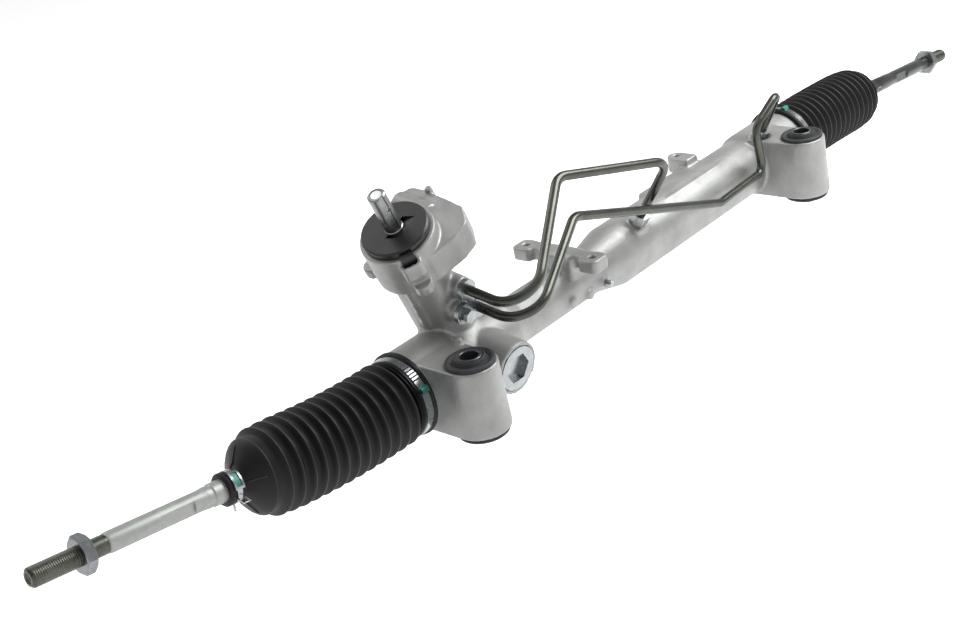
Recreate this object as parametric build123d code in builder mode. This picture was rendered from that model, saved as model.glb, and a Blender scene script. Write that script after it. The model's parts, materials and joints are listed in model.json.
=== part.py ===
from build123d import *
from math import acos, atan, cos, pi, radians, sin, sqrt, tan
import os

# Power steering rack for a car, in millimetres
# X runs along the rack from the pinion end to the cylinder end, +Z is up along the mounting bolts
# The origin is the centre of the mounting bore at the pinion end

# Running and seating clearances
running_clearance = 0.04
seat_clearance = 0.02
soft_clearance = 0.3

# Mounting bushes
bush_spacing = 472.0
rack_offset = 56.0
boss_top = 29.0
boss_foot = -27.0
boss_top_radius = 21.0
boss_foot_radius = 22.6
bush_radius = 16.5
bush_top_flange_radius = 19.4
bush_foot_flange_radius = 20.2
bush_flange_height = 3.2
sleeve_radius = 9.6
sleeve_bore_radius = 7.25
sleeve_half_length = 35.0

# Cast housing
near_reach = 35.0
far_reach = 60.0
housing_start = -near_reach
housing_end = bush_spacing + far_reach
gear_end_radius = 33.5
gear_case_radius = 24.5
tube_radius = 20.3
tube_bore_radius = 16.0
cylinder_radius = 27.75
cylinder_bore_radius = 22.0
cylinder_start = 240.0
far_block_radius = 31.0
boot_seat_radius = 29.8
boot_seat_length = 9.0
bead_radius = 30.8
bead_length = 3.0
near_recess_radius = 19.0
near_recess_depth = 43.0
land_length = 84.0
land_height = 26.0
land_front_y = 42.5

# Rack bar and piston
rack_radius = 13.0
rack_travel = 70.0
left_ball_reach = 51.0
right_ball_reach = 84.0
left_ball_x = housing_start - left_ball_reach
right_ball_x = housing_end + right_ball_reach
piston_x = 341.0
piston_width = 14.0
piston_ring_width = 3.0
piston_ring_depth = 3.2
inner_seal_x = 226.0
inner_seal_length = 11.0
gland_length = 30.0
gland_from_port = 7.8
gland_seal_length = 8.0
gland_ring_width = 2.4

# Inner ball joints
ball_radius = 11.0
liner_wall = 2.0
liner_front = 7.0
liner_back = -9.0
socket_radius = 16.0
socket_back = 19.0
socket_front = 8.5
socket_mouth_radius = 10.6
stud_neck_radius = 5.5
socket_stud_radius = 7.5
socket_stud_length = 16.0

# Gear pair
pinion_x = 56.0
pinion_offset = 17.0
shaft_angle = 23.5
tower_turn = 9.5
gear_module = 2.0
pinion_tooth_count = 8
pinion_helix = 15.0
pressure_angle = 25.0
pinion_addendum = 2.0
rack_addendum = 1.2
tooth_root_gap = 0.4
tooth_side_gap = 0.12
gear_half_length = 15.0
rack_tooth_count = 27

# Pinion tower, heights measured along the pinion axis from the rack
tower_radius = 22.5
tower_bore_radius = 17.5
valve_seat_height = 98.0
valve_case_radius = 29.5
valve_case_height = 37.0
valve_body_height = 28.5
valve_foot_height = 9.0
valve_lug_radius = 7.5
valve_bead_radius = 3.0
valve_bevel = 3.0
valve_port_height = 19.0
valve_port_radius = 6.0
valve_port_wall = 3.5
valve_port_face = 36.0
valve_port_depth = 14.0
low_bearing_start = -31.0
low_bearing_length = 11.0
low_bearing_radius = 9.0
low_cap_length = 5.0
mid_bearing_start = 21.0
mid_bearing_length = 13.0
sleeve_start = 38.0
sleeve_to_seat = 14.0
sleeve_head_length = 8.0
sleeve_ring_width = 2.0
sleeve_ring_depth = 1.6
low_journal_radius = 6.0
mid_journal_radius = 8.5
pinion_head_radius = 13.0
stub_shaft_radius = 9.5
input_shaft_radius = 6.9
shaft_shoulder_radius = 7.5
shaft_stub_length = 36.0
shaft_bore_radius = 3.4
plug_bore_radius = 4.7
shaft_plug_length = 4.0
cross_pin_radius = 1.5
pin_from_tip = 14.0
shaft_flat_width = 5.0
shaft_flat_depth = 1.1
shaft_flat_side = -1.5
torsion_bar_radius = 2.6
top_bearing_from_seat = 14.0
top_bearing_length = 9.0
top_bearing_radius = 13.0
seal_length = 7.0
circlip_width = 1.6
cover_radius = 26.5
cover_thickness = 6.0
cover_recess_depth = 3.0
cover_bow_angle = -42.0
cover_bow_tip = 22.5
cover_bow_half_width = 8.0
clip_angle = -123.0
clip_width = 10.0

# Rack guide
guide_end = 47.6
guide_boss_radius = 22.0
plug_radius = 18.5
plug_length = 9.0
yoke_radius = 15.5
yoke_start = 3.0
yoke_pocket_radius = 8.0
yoke_pocket_start = 24.0
socket_across = 22.0
socket_depth = 5.5
spring_wire_radius = 1.4
spring_turns = 3.5

# Tie rods and jam nuts
rod_length = 258.0
left_rod_tilt = 9.3
right_rod_tilt = -5.6
rod_shoulder_radius = 8.4
rod_neck_radius = 7.3
thread_radius = 7.0
thread_under_nut_radius = 6.8
thread_length = 54.0
jam_nut_across = 24.0
jam_nut_height = 8.0
nut_from_tip = 34.0
flats_across = 12.6
flats_length = 22.0
flats_from_ball = 138.0

# Rubber boots
crest_radius = 34.3
valley_drop = 5.4
boot_bore_radius = 27.2
left_crest_count = 13
right_crest_count = 14
left_boot_end = 112.0
right_boot_end = 84.0
cuff_radius = 11.4
cuff_length = 12.0
dome_radius = 28.6
collar_wall = 2.6
band_width = 7.0
band_wall = 0.8
band_from_end = 1.6

# Pressure pipes and their fittings
pipe_radius = 4.0
port_a_angle = 34.7
port_b_angle = 28.7
port_a_x = 260.0
port_b_x = bush_spacing - 9.8
port_pad_width = 18.0
port_pad_draft = 12.0
port_height = 31.0
port_drill_depth = 9.0
union_across = 14.0
union_height = 11.0
flange_face = 30.0
flange_thickness = 4.0
pipe_socket_depth = 10.0
pipe_a_side = 11.2
pipe_a_up = 70.8
pipe_b_side = 13.4
pipe_b_up = 47.0
pipe_a_reach = 68.0
pipe_a_peak_x = 139.1
pipe_a_peak_z = 119.2
pipe_a_rise = 106.5
pipe_b_reach = 58.5
pipe_b_peak_x = 150.9
pipe_b_peak_z = 80.6
pipe_peak_y = 12.0
pipe_b_low_run = 113.2
pipe_b_low_end = 34.7
pipe_b_climb_end = 41.1
pipe_b_low_y = 13.0
pipe_b_climb_y = 17.0
pipe_b_low_z = 9.8
pipe_b_foot_z = 9.4
pipe_b_climb_z = 54.1
pipe_b_rise = 90.0
bolt_side = -1.0
bolt_up = 55.0
bolt_radius = 3.0
bolt_length = 16.0
bolt_head_across = 10.0
bolt_head_height = 5.0
lobe_radius = 8.5

# Brackets cast on the housing
bracket_top = 34.0
bracket_thickness = 12.0
bracket_x = 174.0
bracket_front_y = 20.0
bracket_back_y = 92.0
bracket_end_width = 20.0
bracket_web = 13.0
lug_x = bush_spacing - 85.0
lug_y = 84.0
lug_radius = 9.0
lug_thickness = 16.0
bracket_hole_radius = 3.4
bracket_hole_depth = 11.0
side_boss_radius = 4.4
side_boss_face = 23.0
stud_radius = 2.6
stud_length = 6.0
knob_radius = 2.8
knob_height = 6.0

# Directions and frames
turn = radians(tower_turn)
cross = radians(shaft_angle)
guide_way = Vector(0, -cos(turn), -sin(turn))
tower_up = Vector(0, -sin(turn), cos(turn))
along_rack = Vector(1, 0, 0)
pinion_way = tower_up * cos(cross) - along_rack * sin(cross)
pinion_side = along_rack * cos(cross) + tower_up * sin(cross)
mesh_point = Vector(pinion_x, rack_offset, 0)
pinion_centre = mesh_point - guide_way * pinion_offset
tower = Plane(origin=pinion_centre, x_dir=pinion_side, z_dir=pinion_way)
guide = Plane(origin=mesh_point, x_dir=along_rack, z_dir=guide_way)
rack_line = Plane(origin=(0, rack_offset, 0), x_dir=(0, 1, 0), z_dir=(1, 0, 0))
flange = Plane(
    origin=tower.from_local_coords(Vector(0, -flange_face, 0)),
    x_dir=pinion_side,
    z_dir=guide_way,
)

# Gear sizes that follow from the module, the teeth and the angles
tooth_angle = radians(shaft_angle - pinion_helix)
helix = radians(pinion_helix)
pitch_radius = gear_module * pinion_tooth_count / 2 / cos(helix)
travel_per_radian = gear_module * pinion_tooth_count / 2 / cos(tooth_angle)
rack_pitch_height = pinion_offset - pitch_radius
rack_tip_height = rack_pitch_height + rack_addendum
rack_root_height = rack_pitch_height - pinion_addendum - tooth_root_gap
rack_tooth_step = pi * gear_module / cos(tooth_angle)

# Heights and places that follow from other sizes
valve_case_top = valve_seat_height + valve_case_height
top_bearing_start = valve_seat_height + top_bearing_from_seat
cover_top = valve_case_top + cover_thickness
shaft_tip_height = cover_top + shaft_stub_length
torsion_bar_top = shaft_tip_height - 7.0
sleeve_length = valve_seat_height - sleeve_to_seat - sleeve_start
gland_x = port_b_x + gland_from_port


def port_frame(port_x, angle):
    """Plane on the rack axis with z up through a pipe port of the cylinder."""
    way = Vector(0, -sin(radians(angle)), cos(radians(angle)))
    return Plane(origin=(port_x, rack_offset, 0), x_dir=along_rack, z_dir=way)


port_a = port_frame(port_a_x, port_a_angle)
port_b = port_frame(port_b_x, port_b_angle)


def side_of(plane):
    """The plane through an axis, with x as radius and y as height along the axis."""
    return Plane(origin=plane.origin, x_dir=plane.x_dir, z_dir=-plane.y_dir)


def spin(plane, profile, mode=Mode.ADD):
    """Turn an outline of (radius, height) points about a plane's z axis in the active part."""
    with BuildSketch(side_of(plane), mode=Mode.PRIVATE) as outline:
        with BuildLine():
            Polyline(*profile, close=True)
        make_face()
    revolve(outline.sketch, axis=Axis(plane.origin, plane.z_dir), mode=mode)


def ring(inner, outer, start, length):
    """Outline of a plain ring for spin."""
    return [(inner, start), (outer, start), (outer, start + length), (inner, start + length)]


def disc_on(plane, radius, height, mode=Mode.ADD, spots=((0, 0),)):
    """Round bosses or holes that stand on a plane."""
    with BuildSketch(plane, mode=Mode.PRIVATE) as outline:
        with Locations(*spots):
            Circle(radius)
    extrude(outline.sketch, amount=height, mode=mode)


def keep(part, label):
    """Name a finished piece and write it."""
    part.label = label
    export_step(part, "parts/" + label + ".step")


os.makedirs("parts", exist_ok=True)

# Rack housing, one casting
near_seat_stop = housing_start + bead_length + boot_seat_length
far_seat_start = housing_end - bead_length - boot_seat_length
case_end = pinion_x + 34.0
far_block_start = bush_spacing - 14.0
tower_rib_angle = 205.0
side_bosses = [(158.0, -4.7), (181.0, -7.5), (202.0, -5.5)]
boss_row = Plane(origin=(0, rack_offset - side_boss_face, 0), x_dir=along_rack, z_dir=(0, -1, 0))
housing_line = [
    (0, housing_start),
    (bead_radius, housing_start),
    (bead_radius, housing_start + bead_length),
    (boot_seat_radius, housing_start + bead_length),
    (boot_seat_radius, near_seat_stop),
    (gear_end_radius, near_seat_stop),
    (gear_end_radius, boss_top_radius),
    (gear_case_radius, boss_top_radius + 12.0),
    (gear_case_radius, case_end),
    (tube_radius, case_end + 14.0),
    (tube_radius, cylinder_start - 36.0),
    (cylinder_radius, cylinder_start - 4.0),
    (cylinder_radius, far_block_start - 8.0),
    (far_block_radius, far_block_start),
    (far_block_radius, far_seat_start),
    (boot_seat_radius, far_seat_start),
    (boot_seat_radius, housing_end - bead_length),
    (bead_radius, housing_end - bead_length),
    (bead_radius, housing_end),
    (0, housing_end),
]
bore_line = [
    (0, housing_start),
    (near_recess_radius, housing_start),
    (near_recess_radius, housing_start + near_recess_depth),
    (tube_bore_radius, housing_start + near_recess_depth),
    (tube_bore_radius, cylinder_start),
    (cylinder_bore_radius, cylinder_start),
    (cylinder_bore_radius, housing_end),
    (0, housing_end),
]
cap_start = low_bearing_start - low_cap_length
plug_start = guide_end - plug_length
flange_spots = [(pipe_a_side, pipe_a_up), (pipe_b_side, pipe_b_up), (bolt_side, bolt_up)]

with BuildPart() as rack_housing:
    spin(rack_line, housing_line)
    # Upright bosses for the bushes, drafted towards the top, and their blocks
    for bush_x in (0, bush_spacing):
        with BuildSketch(Plane.XY.offset(boss_foot)):
            with Locations((bush_x, 0)):
                Circle(boss_foot_radius)
            with Locations((bush_x, rack_offset / 2)):
                Rectangle(2 * boss_foot_radius, rack_offset)
        with BuildSketch(Plane.XY.offset(boss_top)):
            with Locations((bush_x, 0)):
                Circle(boss_top_radius)
            with Locations((bush_x, rack_offset / 2)):
                Rectangle(2 * boss_top_radius, rack_offset)
        loft()
    # Pinion tower with a smaller foot below the rack
    disc_on(tower.offset(cap_start), low_bearing_radius + 4.0, -cap_start)
    disc_on(tower, tower_radius, valve_seat_height)
    disc_on(guide, guide_boss_radius, guide_end)
    for spot, radius in zip(flange_spots, (lobe_radius + 0.5, lobe_radius + 0.5, lobe_radius)):
        disc_on(flange, radius, -flange_face, spots=[spot])
    # Rib down the side of the tower, and a knob on the near block
    with BuildSketch(tower.offset(valve_seat_height)):
        with PolarLocations(tower_radius - 3.0, 1, tower_rib_angle):
            Rectangle(12.0, 6.0)
    extrude(amount=-valve_seat_height / 2)
    disc_on(Plane.XY, knob_radius, boss_top + knob_height,
            spots=[(boss_top_radius - knob_radius, rack_offset / 2)])
    # Row of small bosses on the front of the tube
    disc_on(boss_row, side_boss_radius, -side_boss_face / 2, spots=side_bosses)
    # Bracket across the tube with a boss at each end, and a lug on a flat land of the cylinder
    with BuildSketch(Plane.XY.offset(bracket_top - bracket_thickness)):
        with Locations((bracket_x, bracket_front_y), (bracket_x, bracket_back_y)):
            RectangleRounded(bracket_end_width, bracket_end_width, 5.0)
        with Locations((bracket_x + 3.0, (bracket_front_y + bracket_back_y) / 2)):
            Rectangle(bracket_web, bracket_back_y - bracket_front_y)
    extrude(amount=bracket_thickness)
    with BuildSketch(Plane.XY):
        with Locations((bracket_x + 3.0, rack_offset)):
            Rectangle(bracket_web + 8.0, 2 * tube_radius - 6.0)
    extrude(amount=bracket_top - 2.0)
    with BuildSketch(Plane.XY.offset(bracket_top - lug_thickness)):
        with Locations((lug_x, lug_y)):
            Circle(lug_radius)
        with Locations((lug_x, lug_y - lug_radius)):
            Rectangle(2 * lug_radius, 2 * lug_radius)
    extrude(amount=lug_thickness)
    with BuildSketch(Plane.XY):
        with Locations((lug_x + lug_radius - land_length / 2, (land_front_y + lug_y - 8.0) / 2)):
            Rectangle(land_length, lug_y - 8.0 - land_front_y)
    extrude(amount=land_height)
    for port in (port_a, port_b):
        with BuildSketch(port.offset(port_height)):
            RectangleRounded(port_pad_width, port_pad_width, 4.0)
        extrude(amount=tube_radius - port_height, taper=-port_pad_draft)
    # Bores for the rack, the pinion and valve, the guide, the bushes and the fixings
    spin(rack_line, bore_line, mode=Mode.SUBTRACT)
    disc_on(tower.offset(cap_start), low_bearing_radius, -cap_start, mode=Mode.SUBTRACT)
    disc_on(tower.offset(-gear_half_length), 11.5, 40.0, mode=Mode.SUBTRACT)
    disc_on(tower.offset(mid_bearing_start), tower_bore_radius,
            valve_seat_height - mid_bearing_start, mode=Mode.SUBTRACT)
    disc_on(guide, yoke_radius + running_clearance, guide_end, mode=Mode.SUBTRACT)
    disc_on(guide.offset(plug_start), plug_radius, plug_length, mode=Mode.SUBTRACT)
    for bush_x in (0, bush_spacing):
        disc_on(Plane.XY.offset(boss_foot), bush_radius + seat_clearance, boss_top - boss_foot,
                mode=Mode.SUBTRACT, spots=[(bush_x, 0)])
    disc_on(Plane.XY.offset(bracket_top), bracket_hole_radius, -bracket_hole_depth,
            mode=Mode.SUBTRACT,
            spots=[(bracket_x, bracket_front_y), (bracket_x, bracket_back_y)])
    disc_on(Plane.XY.offset(bracket_top), bracket_hole_radius, -lug_thickness,
            mode=Mode.SUBTRACT, spots=[(lug_x, lug_y)])
    disc_on(flange, pipe_radius + seat_clearance, -pipe_socket_depth, mode=Mode.SUBTRACT,
            spots=flange_spots[:2])
    disc_on(flange, bolt_radius + seat_clearance, flange_thickness - bolt_length - 1.0,
            mode=Mode.SUBTRACT, spots=flange_spots[2:])
    disc_on(boss_row, stud_radius + seat_clearance, -stud_length, mode=Mode.SUBTRACT,
            spots=side_bosses[-1:])
    for port in (port_a, port_b):
        disc_on(port.offset(port_height), port_pad_width / 2 + 1.0, 2 * union_height,
                mode=Mode.SUBTRACT)
        disc_on(port.offset(port_height), pipe_radius + seat_clearance, -port_drill_depth,
                mode=Mode.SUBTRACT)
keep(rack_housing.part, "rack_housing")

# Earth stud in the last small boss
with BuildPart() as earth_stud:
    disc_on(boss_row.offset(-stud_length + 0.5), stud_radius, 2 * stud_length - 0.5,
            spots=side_bosses[-1:])
    chamfer(earth_stud.edges().filter_by(GeomType.CIRCLE), 0.4)
keep(earth_stud.part, "earth_stud")

# Rubber bushes and their steel sleeves
for side, bush_x in (("left", 0.0), ("right", bush_spacing)):
    bush_frame = Plane.XY.offset(0).move(Location((bush_x, 0, 0)))
    with BuildPart() as mount_bush:
        spin(bush_frame, [
            (sleeve_radius, boss_foot - bush_flange_height),
            (bush_foot_flange_radius, boss_foot - bush_flange_height),
            (bush_foot_flange_radius, boss_foot),
            (bush_radius, boss_foot),
            (bush_radius, boss_top),
            (bush_top_flange_radius, boss_top),
            (bush_top_flange_radius, boss_top + bush_flange_height / 2),
            (sleeve_radius + 2.0, boss_top + bush_flange_height),
            (sleeve_radius, boss_top + bush_flange_height),
        ])
    keep(mount_bush.part, side + "_mount_bush")
    with BuildPart() as mount_sleeve:
        spin(bush_frame, ring(sleeve_bore_radius, sleeve_radius, -sleeve_half_length,
                              2 * sleeve_half_length))
        chamfer(mount_sleeve.edges().filter_by(GeomType.CIRCLE), 0.5)
    keep(mount_sleeve.part, side + "_mount_sleeve")

# Valve housing that closes the top of the tower, with its lobes, lugs and hose ports
valve_back = Plane(origin=tower.origin, x_dir=-pinion_side, z_dir=-guide_way)
valve_ports = [
    (-12.0, valve_seat_height + valve_port_height),
    (-34.0, valve_seat_height + valve_port_height),
]
valve_foot = tower.offset(valve_seat_height)
clip_plane = Plane(
    origin=tower.origin,
    x_dir=pinion_side * cos(radians(clip_angle)) - guide_way * sin(radians(clip_angle)),
    z_dir=pinion_way,
)
with BuildPart() as valve_housing:
    disc_on(valve_foot, valve_case_radius, valve_case_height)
    # Foot flange with a broad lobe and two bolt lugs
    with BuildSketch(valve_foot):
        with BuildLine():
            FilletPolyline(
                (0, -31.0),
                (18.0, -33.0),
                (34.5, -31.5),
                (45.5, -11.0),
                (44.0, 24.0),
                (0, 30.0),
                radius=9.0,
                close=True,
            )
        make_face()
        with Locations((-18.0, 25.0), (-15.0, -25.0)):
            Circle(valve_lug_radius)
    extrude(amount=valve_foot_height)
    # Body beside the valve, wider at one corner, with a vertical bead in its notch
    straight_height = valve_body_height - valve_bevel
    for start, height, taper in ((0, straight_height, 0), (straight_height, valve_bevel, 35.0)):
        with BuildSketch(valve_foot.offset(start)):
            with BuildLine():
                FilletPolyline(
                    (-8.0, 28.0),
                    (20.0, 33.5),
                    (47.5, 33.5),
                    (49.5, 18.0),
                    (48.5, -4.0),
                    (47.0, -23.0),
                    (35.0, -36.0),
                    (21.0, -36.0),
                    (-8.0, -29.0),
                    radius=7.0,
                    close=True,
                )
            make_face()
        extrude(amount=height, taper=taper)
    disc_on(valve_foot, valve_bead_radius, valve_body_height + 1.0, spots=[(49.5, 13.0)])
    with BuildSketch(clip_plane.offset(valve_seat_height + valve_case_height / 2)):
        with Locations((valve_case_radius, 0)):
            RectangleRounded(12.0, clip_width + 7.0, 4.0)
    extrude(amount=valve_case_height / 2 - 4.0)
    disc_on(valve_back, valve_port_radius + valve_port_wall, valve_port_face, spots=valve_ports)
    disc_on(valve_foot, tower_bore_radius - 3.0, top_bearing_from_seat, mode=Mode.SUBTRACT)
    disc_on(tower.offset(top_bearing_start), top_bearing_radius + seat_clearance,
            valve_case_top - top_bearing_start, mode=Mode.SUBTRACT)
    disc_on(valve_back.offset(valve_port_face - valve_port_depth), valve_port_radius,
            valve_port_depth + 1.0, mode=Mode.SUBTRACT, spots=valve_ports)
    with BuildSketch(clip_plane.offset(valve_case_top - 11.0)):
        with Locations((valve_case_radius + 1.0, 0)):
            Rectangle(5.0, clip_width + 2 * soft_clearance)
    extrude(amount=12.0, mode=Mode.SUBTRACT)
keep(valve_housing.part, "valve_housing")

# Dust cover, a moulded disc with a sunk bow-tie around the shaft and a clip at its rim
with BuildPart() as dust_cover:
    disc_on(tower.offset(valve_case_top), cover_radius, cover_thickness)
    chamfer(dust_cover.edges().filter_by(GeomType.CIRCLE).sort_by(Axis(tower.origin, pinion_way))[-1],
            1.2)
    with BuildSketch(tower.offset(cover_top).rotated((0, 0, cover_bow_angle))):
        Circle(shaft_shoulder_radius + 3.0)
        for way in (-1, 1):
            with BuildLine():
                Polyline(
                    (way * cover_bow_tip, 0),
                    (way * shaft_shoulder_radius, cover_bow_half_width),
                    (way * shaft_shoulder_radius, -cover_bow_half_width),
                    close=True,
                )
            make_face()
    extrude(amount=-cover_recess_depth, mode=Mode.SUBTRACT)
    disc_on(tower.offset(valve_case_top), shaft_shoulder_radius + soft_clearance, cover_thickness,
            mode=Mode.SUBTRACT)
    with BuildSketch(clip_plane.offset(valve_case_top)):
        with Locations(((cover_radius + valve_case_radius) / 2 - 0.5, 0)):
            Rectangle(valve_case_radius - cover_radius + 5.0, clip_width)
    extrude(amount=3.0)
    with BuildSketch(clip_plane.offset(valve_case_top - 8.0)):
        with Locations((valve_case_radius + 0.6, 0)):
            Rectangle(2.8, clip_width)
    extrude(amount=11.0)
keep(dust_cover.part, "dust_cover")

# Bearings, seal and snap ring of the input shaft
with BuildPart() as top_bearing:
    spin(tower, ring(stub_shaft_radius + running_clearance, top_bearing_radius,
                     top_bearing_start, top_bearing_length))
keep(top_bearing.part, "input_shaft_bearing")
seal_start = top_bearing_start + top_bearing_length + 1.0
with BuildPart() as shaft_seal:
    spin(tower, [
        (stub_shaft_radius + running_clearance, seal_start + 2.0),
        (top_bearing_radius, seal_start),
        (top_bearing_radius, seal_start + seal_length),
        (stub_shaft_radius + running_clearance, seal_start + seal_length - 2.0),
    ])
keep(shaft_seal.part, "input_shaft_seal")
with BuildPart() as snap_ring:
    with BuildSketch(tower.offset(seal_start + seal_length + 0.4)):
        Circle(top_bearing_radius)
        Circle(top_bearing_radius - 1.8, mode=Mode.SUBTRACT)
        with Locations((top_bearing_radius, 0)):
            Rectangle(6.0, 5.0, mode=Mode.SUBTRACT)
    extrude(amount=circlip_width)
keep(snap_ring.part, "seal_snap_ring")
with BuildPart() as pinion_bearing:
    spin(tower, ring(mid_journal_radius + running_clearance, tower_bore_radius - seat_clearance,
                     mid_bearing_start, mid_bearing_length))
keep(pinion_bearing.part, "pinion_upper_bearing")
with BuildPart() as low_bearing:
    spin(tower, ring(low_journal_radius + running_clearance, low_bearing_radius - seat_clearance,
                     low_bearing_start, low_bearing_length))
keep(low_bearing.part, "pinion_lower_bearing")
with BuildPart() as low_cap:
    disc_on(tower.offset(cap_start), low_bearing_radius - seat_clearance, low_cap_length - 1.0)
    chamfer(low_cap.edges(), 0.6)
keep(low_cap.part, "pinion_cap")

# Pinion with helical teeth, built through turned copies of one tooth outline
transverse_pressure = atan(tan(radians(pressure_angle)) / cos(helix))
base_radius = pitch_radius * cos(transverse_pressure)
tip_radius = pitch_radius + pinion_addendum
root_radius = pitch_radius - rack_addendum - tooth_root_gap
twist_per_length = tan(helix) / pitch_radius
tooth_sections = 6
flank_steps = 3


def flank_angle(radius):
    """Half of a tooth's angle at a radius on its involute flank."""
    roll = acos(min(base_radius / radius, 1.0))
    half_at_pitch = pi / 2 / pinion_tooth_count + tan(transverse_pressure) - transverse_pressure
    return half_at_pitch - (tan(roll) - roll)


def pinion_outline(height):
    """Corner points of the toothed outline at a height along the pinion."""
    first = -pi / 2 + height * twist_per_length
    points = []
    for tooth in range(pinion_tooth_count):
        middle = first + 2 * pi * tooth / pinion_tooth_count
        radii = [base_radius + (tip_radius - base_radius) * k / flank_steps
                 for k in range(flank_steps + 1)]
        half_root = flank_angle(base_radius)
        points.append((root_radius, middle - half_root))
        points += [(r, middle - flank_angle(r)) for r in radii]
        points += [(r, middle + flank_angle(r)) for r in reversed(radii)]
        points.append((root_radius, middle + half_root))
    return [(r * cos(a), r * sin(a)) for r, a in points]


with BuildPart() as pinion:
    for step in range(tooth_sections + 1):
        height = gear_half_length * (2 * step / tooth_sections - 1)
        with BuildSketch(tower.offset(height)):
            with BuildLine():
                Polyline(*pinion_outline(height), close=True)
            make_face()
    loft(ruled=True)
    spin(tower, [
        (0, low_bearing_start + 0.5),
        (low_journal_radius, low_bearing_start + 0.5),
        (low_journal_radius, -gear_half_length),
        (0, -gear_half_length),
    ])
    spin(tower, [
        (0, gear_half_length),
        (mid_journal_radius, gear_half_length),
        (mid_journal_radius, mid_bearing_start + mid_bearing_length + 1.0),
        (pinion_head_radius, mid_bearing_start + mid_bearing_length + 1.0),
        (pinion_head_radius, sleeve_start + sleeve_head_length),
        (0, sleeve_start + sleeve_head_length),
    ])
    disc_on(tower.offset(gear_half_length), torsion_bar_radius,
            sleeve_start + sleeve_head_length - gear_half_length, mode=Mode.SUBTRACT)
keep(pinion.part, "pinion")

# Valve sleeve with ring grooves, its rings, and the torsion bar
sleeve_radius_out = tower_bore_radius - running_clearance
ring_pitch = (sleeve_length - 10.0) / 3
ring_heights = [sleeve_start + 3.0 + k * ring_pitch for k in range(4)]
with BuildPart() as valve_sleeve:
    spin(tower, ring(stub_shaft_radius + running_clearance, sleeve_radius_out - 0.1,
                     sleeve_start, sleeve_length))
    disc_on(tower.offset(sleeve_start), pinion_head_radius, sleeve_head_length,
            mode=Mode.SUBTRACT)
    for height in ring_heights:
        spin(tower, ring(sleeve_radius_out - sleeve_ring_depth, sleeve_radius_out + 1.0,
                         height, sleeve_ring_width), mode=Mode.SUBTRACT)
keep(valve_sleeve.part, "valve_sleeve")
with BuildPart() as sleeve_rings:
    for height in ring_heights:
        spin(tower, ring(sleeve_radius_out - sleeve_ring_depth, sleeve_radius_out,
                         height, sleeve_ring_width))
keep(sleeve_rings.part, "valve_sleeve_rings")
with BuildPart() as torsion_bar:
    disc_on(tower.offset(gear_half_length), torsion_bar_radius,
            torsion_bar_top - gear_half_length)
keep(torsion_bar.part, "torsion_bar")

# Input shaft with a clamp flat, side notches and the cross pin's hole
shaft_foot = sleeve_start + sleeve_head_length + 0.5
stub_end = seal_start + seal_length + circlip_width
pin_height = shaft_tip_height - pin_from_tip
pin_plane = Plane(origin=tower.from_local_coords(Vector(0, 0, pin_height)),
                  x_dir=pinion_side, z_dir=guide_way)
with BuildPart() as input_shaft:
    spin(tower, [
        (shaft_bore_radius, shaft_foot),
        (stub_shaft_radius, shaft_foot),
        (stub_shaft_radius, stub_end),
        (shaft_shoulder_radius, stub_end + 2.0),
        (shaft_shoulder_radius, cover_top + 0.8),
        (input_shaft_radius, cover_top + 1.4),
        (input_shaft_radius, shaft_tip_height - 1.0),
        (input_shaft_radius - 1.0, shaft_tip_height),
        (plug_bore_radius, shaft_tip_height),
        (plug_bore_radius, shaft_tip_height - shaft_plug_length - 1.0),
        (shaft_bore_radius, shaft_tip_height - shaft_plug_length - 1.0),
    ])
    # Flat along the front for the clamp's key, and a shallow notch on each side
    with BuildSketch(tower.offset(cover_top + 1.4)):
        with Locations((shaft_flat_side, -input_shaft_radius)):
            Rectangle(shaft_flat_width, 2 * shaft_flat_depth)
    extrude(amount=shaft_stub_length, mode=Mode.SUBTRACT)
    with BuildSketch(tower.offset(cover_top + 8.0)):
        with Locations((input_shaft_radius + 0.6, 0), (-input_shaft_radius - 0.6, 0)):
            Rectangle(2.8, 2 * input_shaft_radius + 2.0)
    extrude(amount=5.0, mode=Mode.SUBTRACT)
    with BuildSketch(pin_plane):
        Circle(cross_pin_radius)
    extrude(amount=2 * input_shaft_radius, both=True, mode=Mode.SUBTRACT)
keep(input_shaft.part, "input_shaft")
with BuildPart() as shaft_plug:
    disc_on(tower.offset(shaft_tip_height - 0.4), plug_bore_radius - seat_clearance,
            -shaft_plug_length)
    chamfer(shaft_plug.edges().filter_by(GeomType.CIRCLE), 0.5)
keep(shaft_plug.part, "input_shaft_plug")
with BuildPart() as cross_pin:
    with BuildSketch(pin_plane):
        Circle(cross_pin_radius - running_clearance)
    extrude(amount=input_shaft_radius - 2.0, both=True)
    disc_on(tower.offset(shaft_foot), torsion_bar_radius + running_clearance,
            torsion_bar_top - shaft_foot, mode=Mode.SUBTRACT)
keep(cross_pin.part, "torsion_bar_pin")

# Rack guide: yoke with a saddle for the rack, spring, ring and screwed plug
with BuildPart() as guide_yoke:
    disc_on(guide.offset(yoke_start), yoke_radius, plug_start - 0.2 - yoke_start)
    spin(rack_line, ring(0, rack_radius + running_clearance, pinion_x - 2 * yoke_radius,
                         4 * yoke_radius),
         mode=Mode.SUBTRACT)
    disc_on(guide.offset(yoke_pocket_start), yoke_pocket_radius, guide_end, mode=Mode.SUBTRACT)
    spin(guide, ring(yoke_radius - 1.6, yoke_radius + 1.0, yoke_pocket_start + 4.0, 2.4),
         mode=Mode.SUBTRACT)
keep(guide_yoke.part, "guide_yoke")
with BuildPart() as guide_ring:
    spin(guide, ring(yoke_radius - 1.6, yoke_radius + running_clearance,
                     yoke_pocket_start + 4.0, 2.4))
keep(guide_ring.part, "guide_yoke_ring")
spring_length = plug_start - yoke_pocket_start - 2 * spring_wire_radius
spring_radius = yoke_pocket_radius - spring_wire_radius - 0.4
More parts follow.
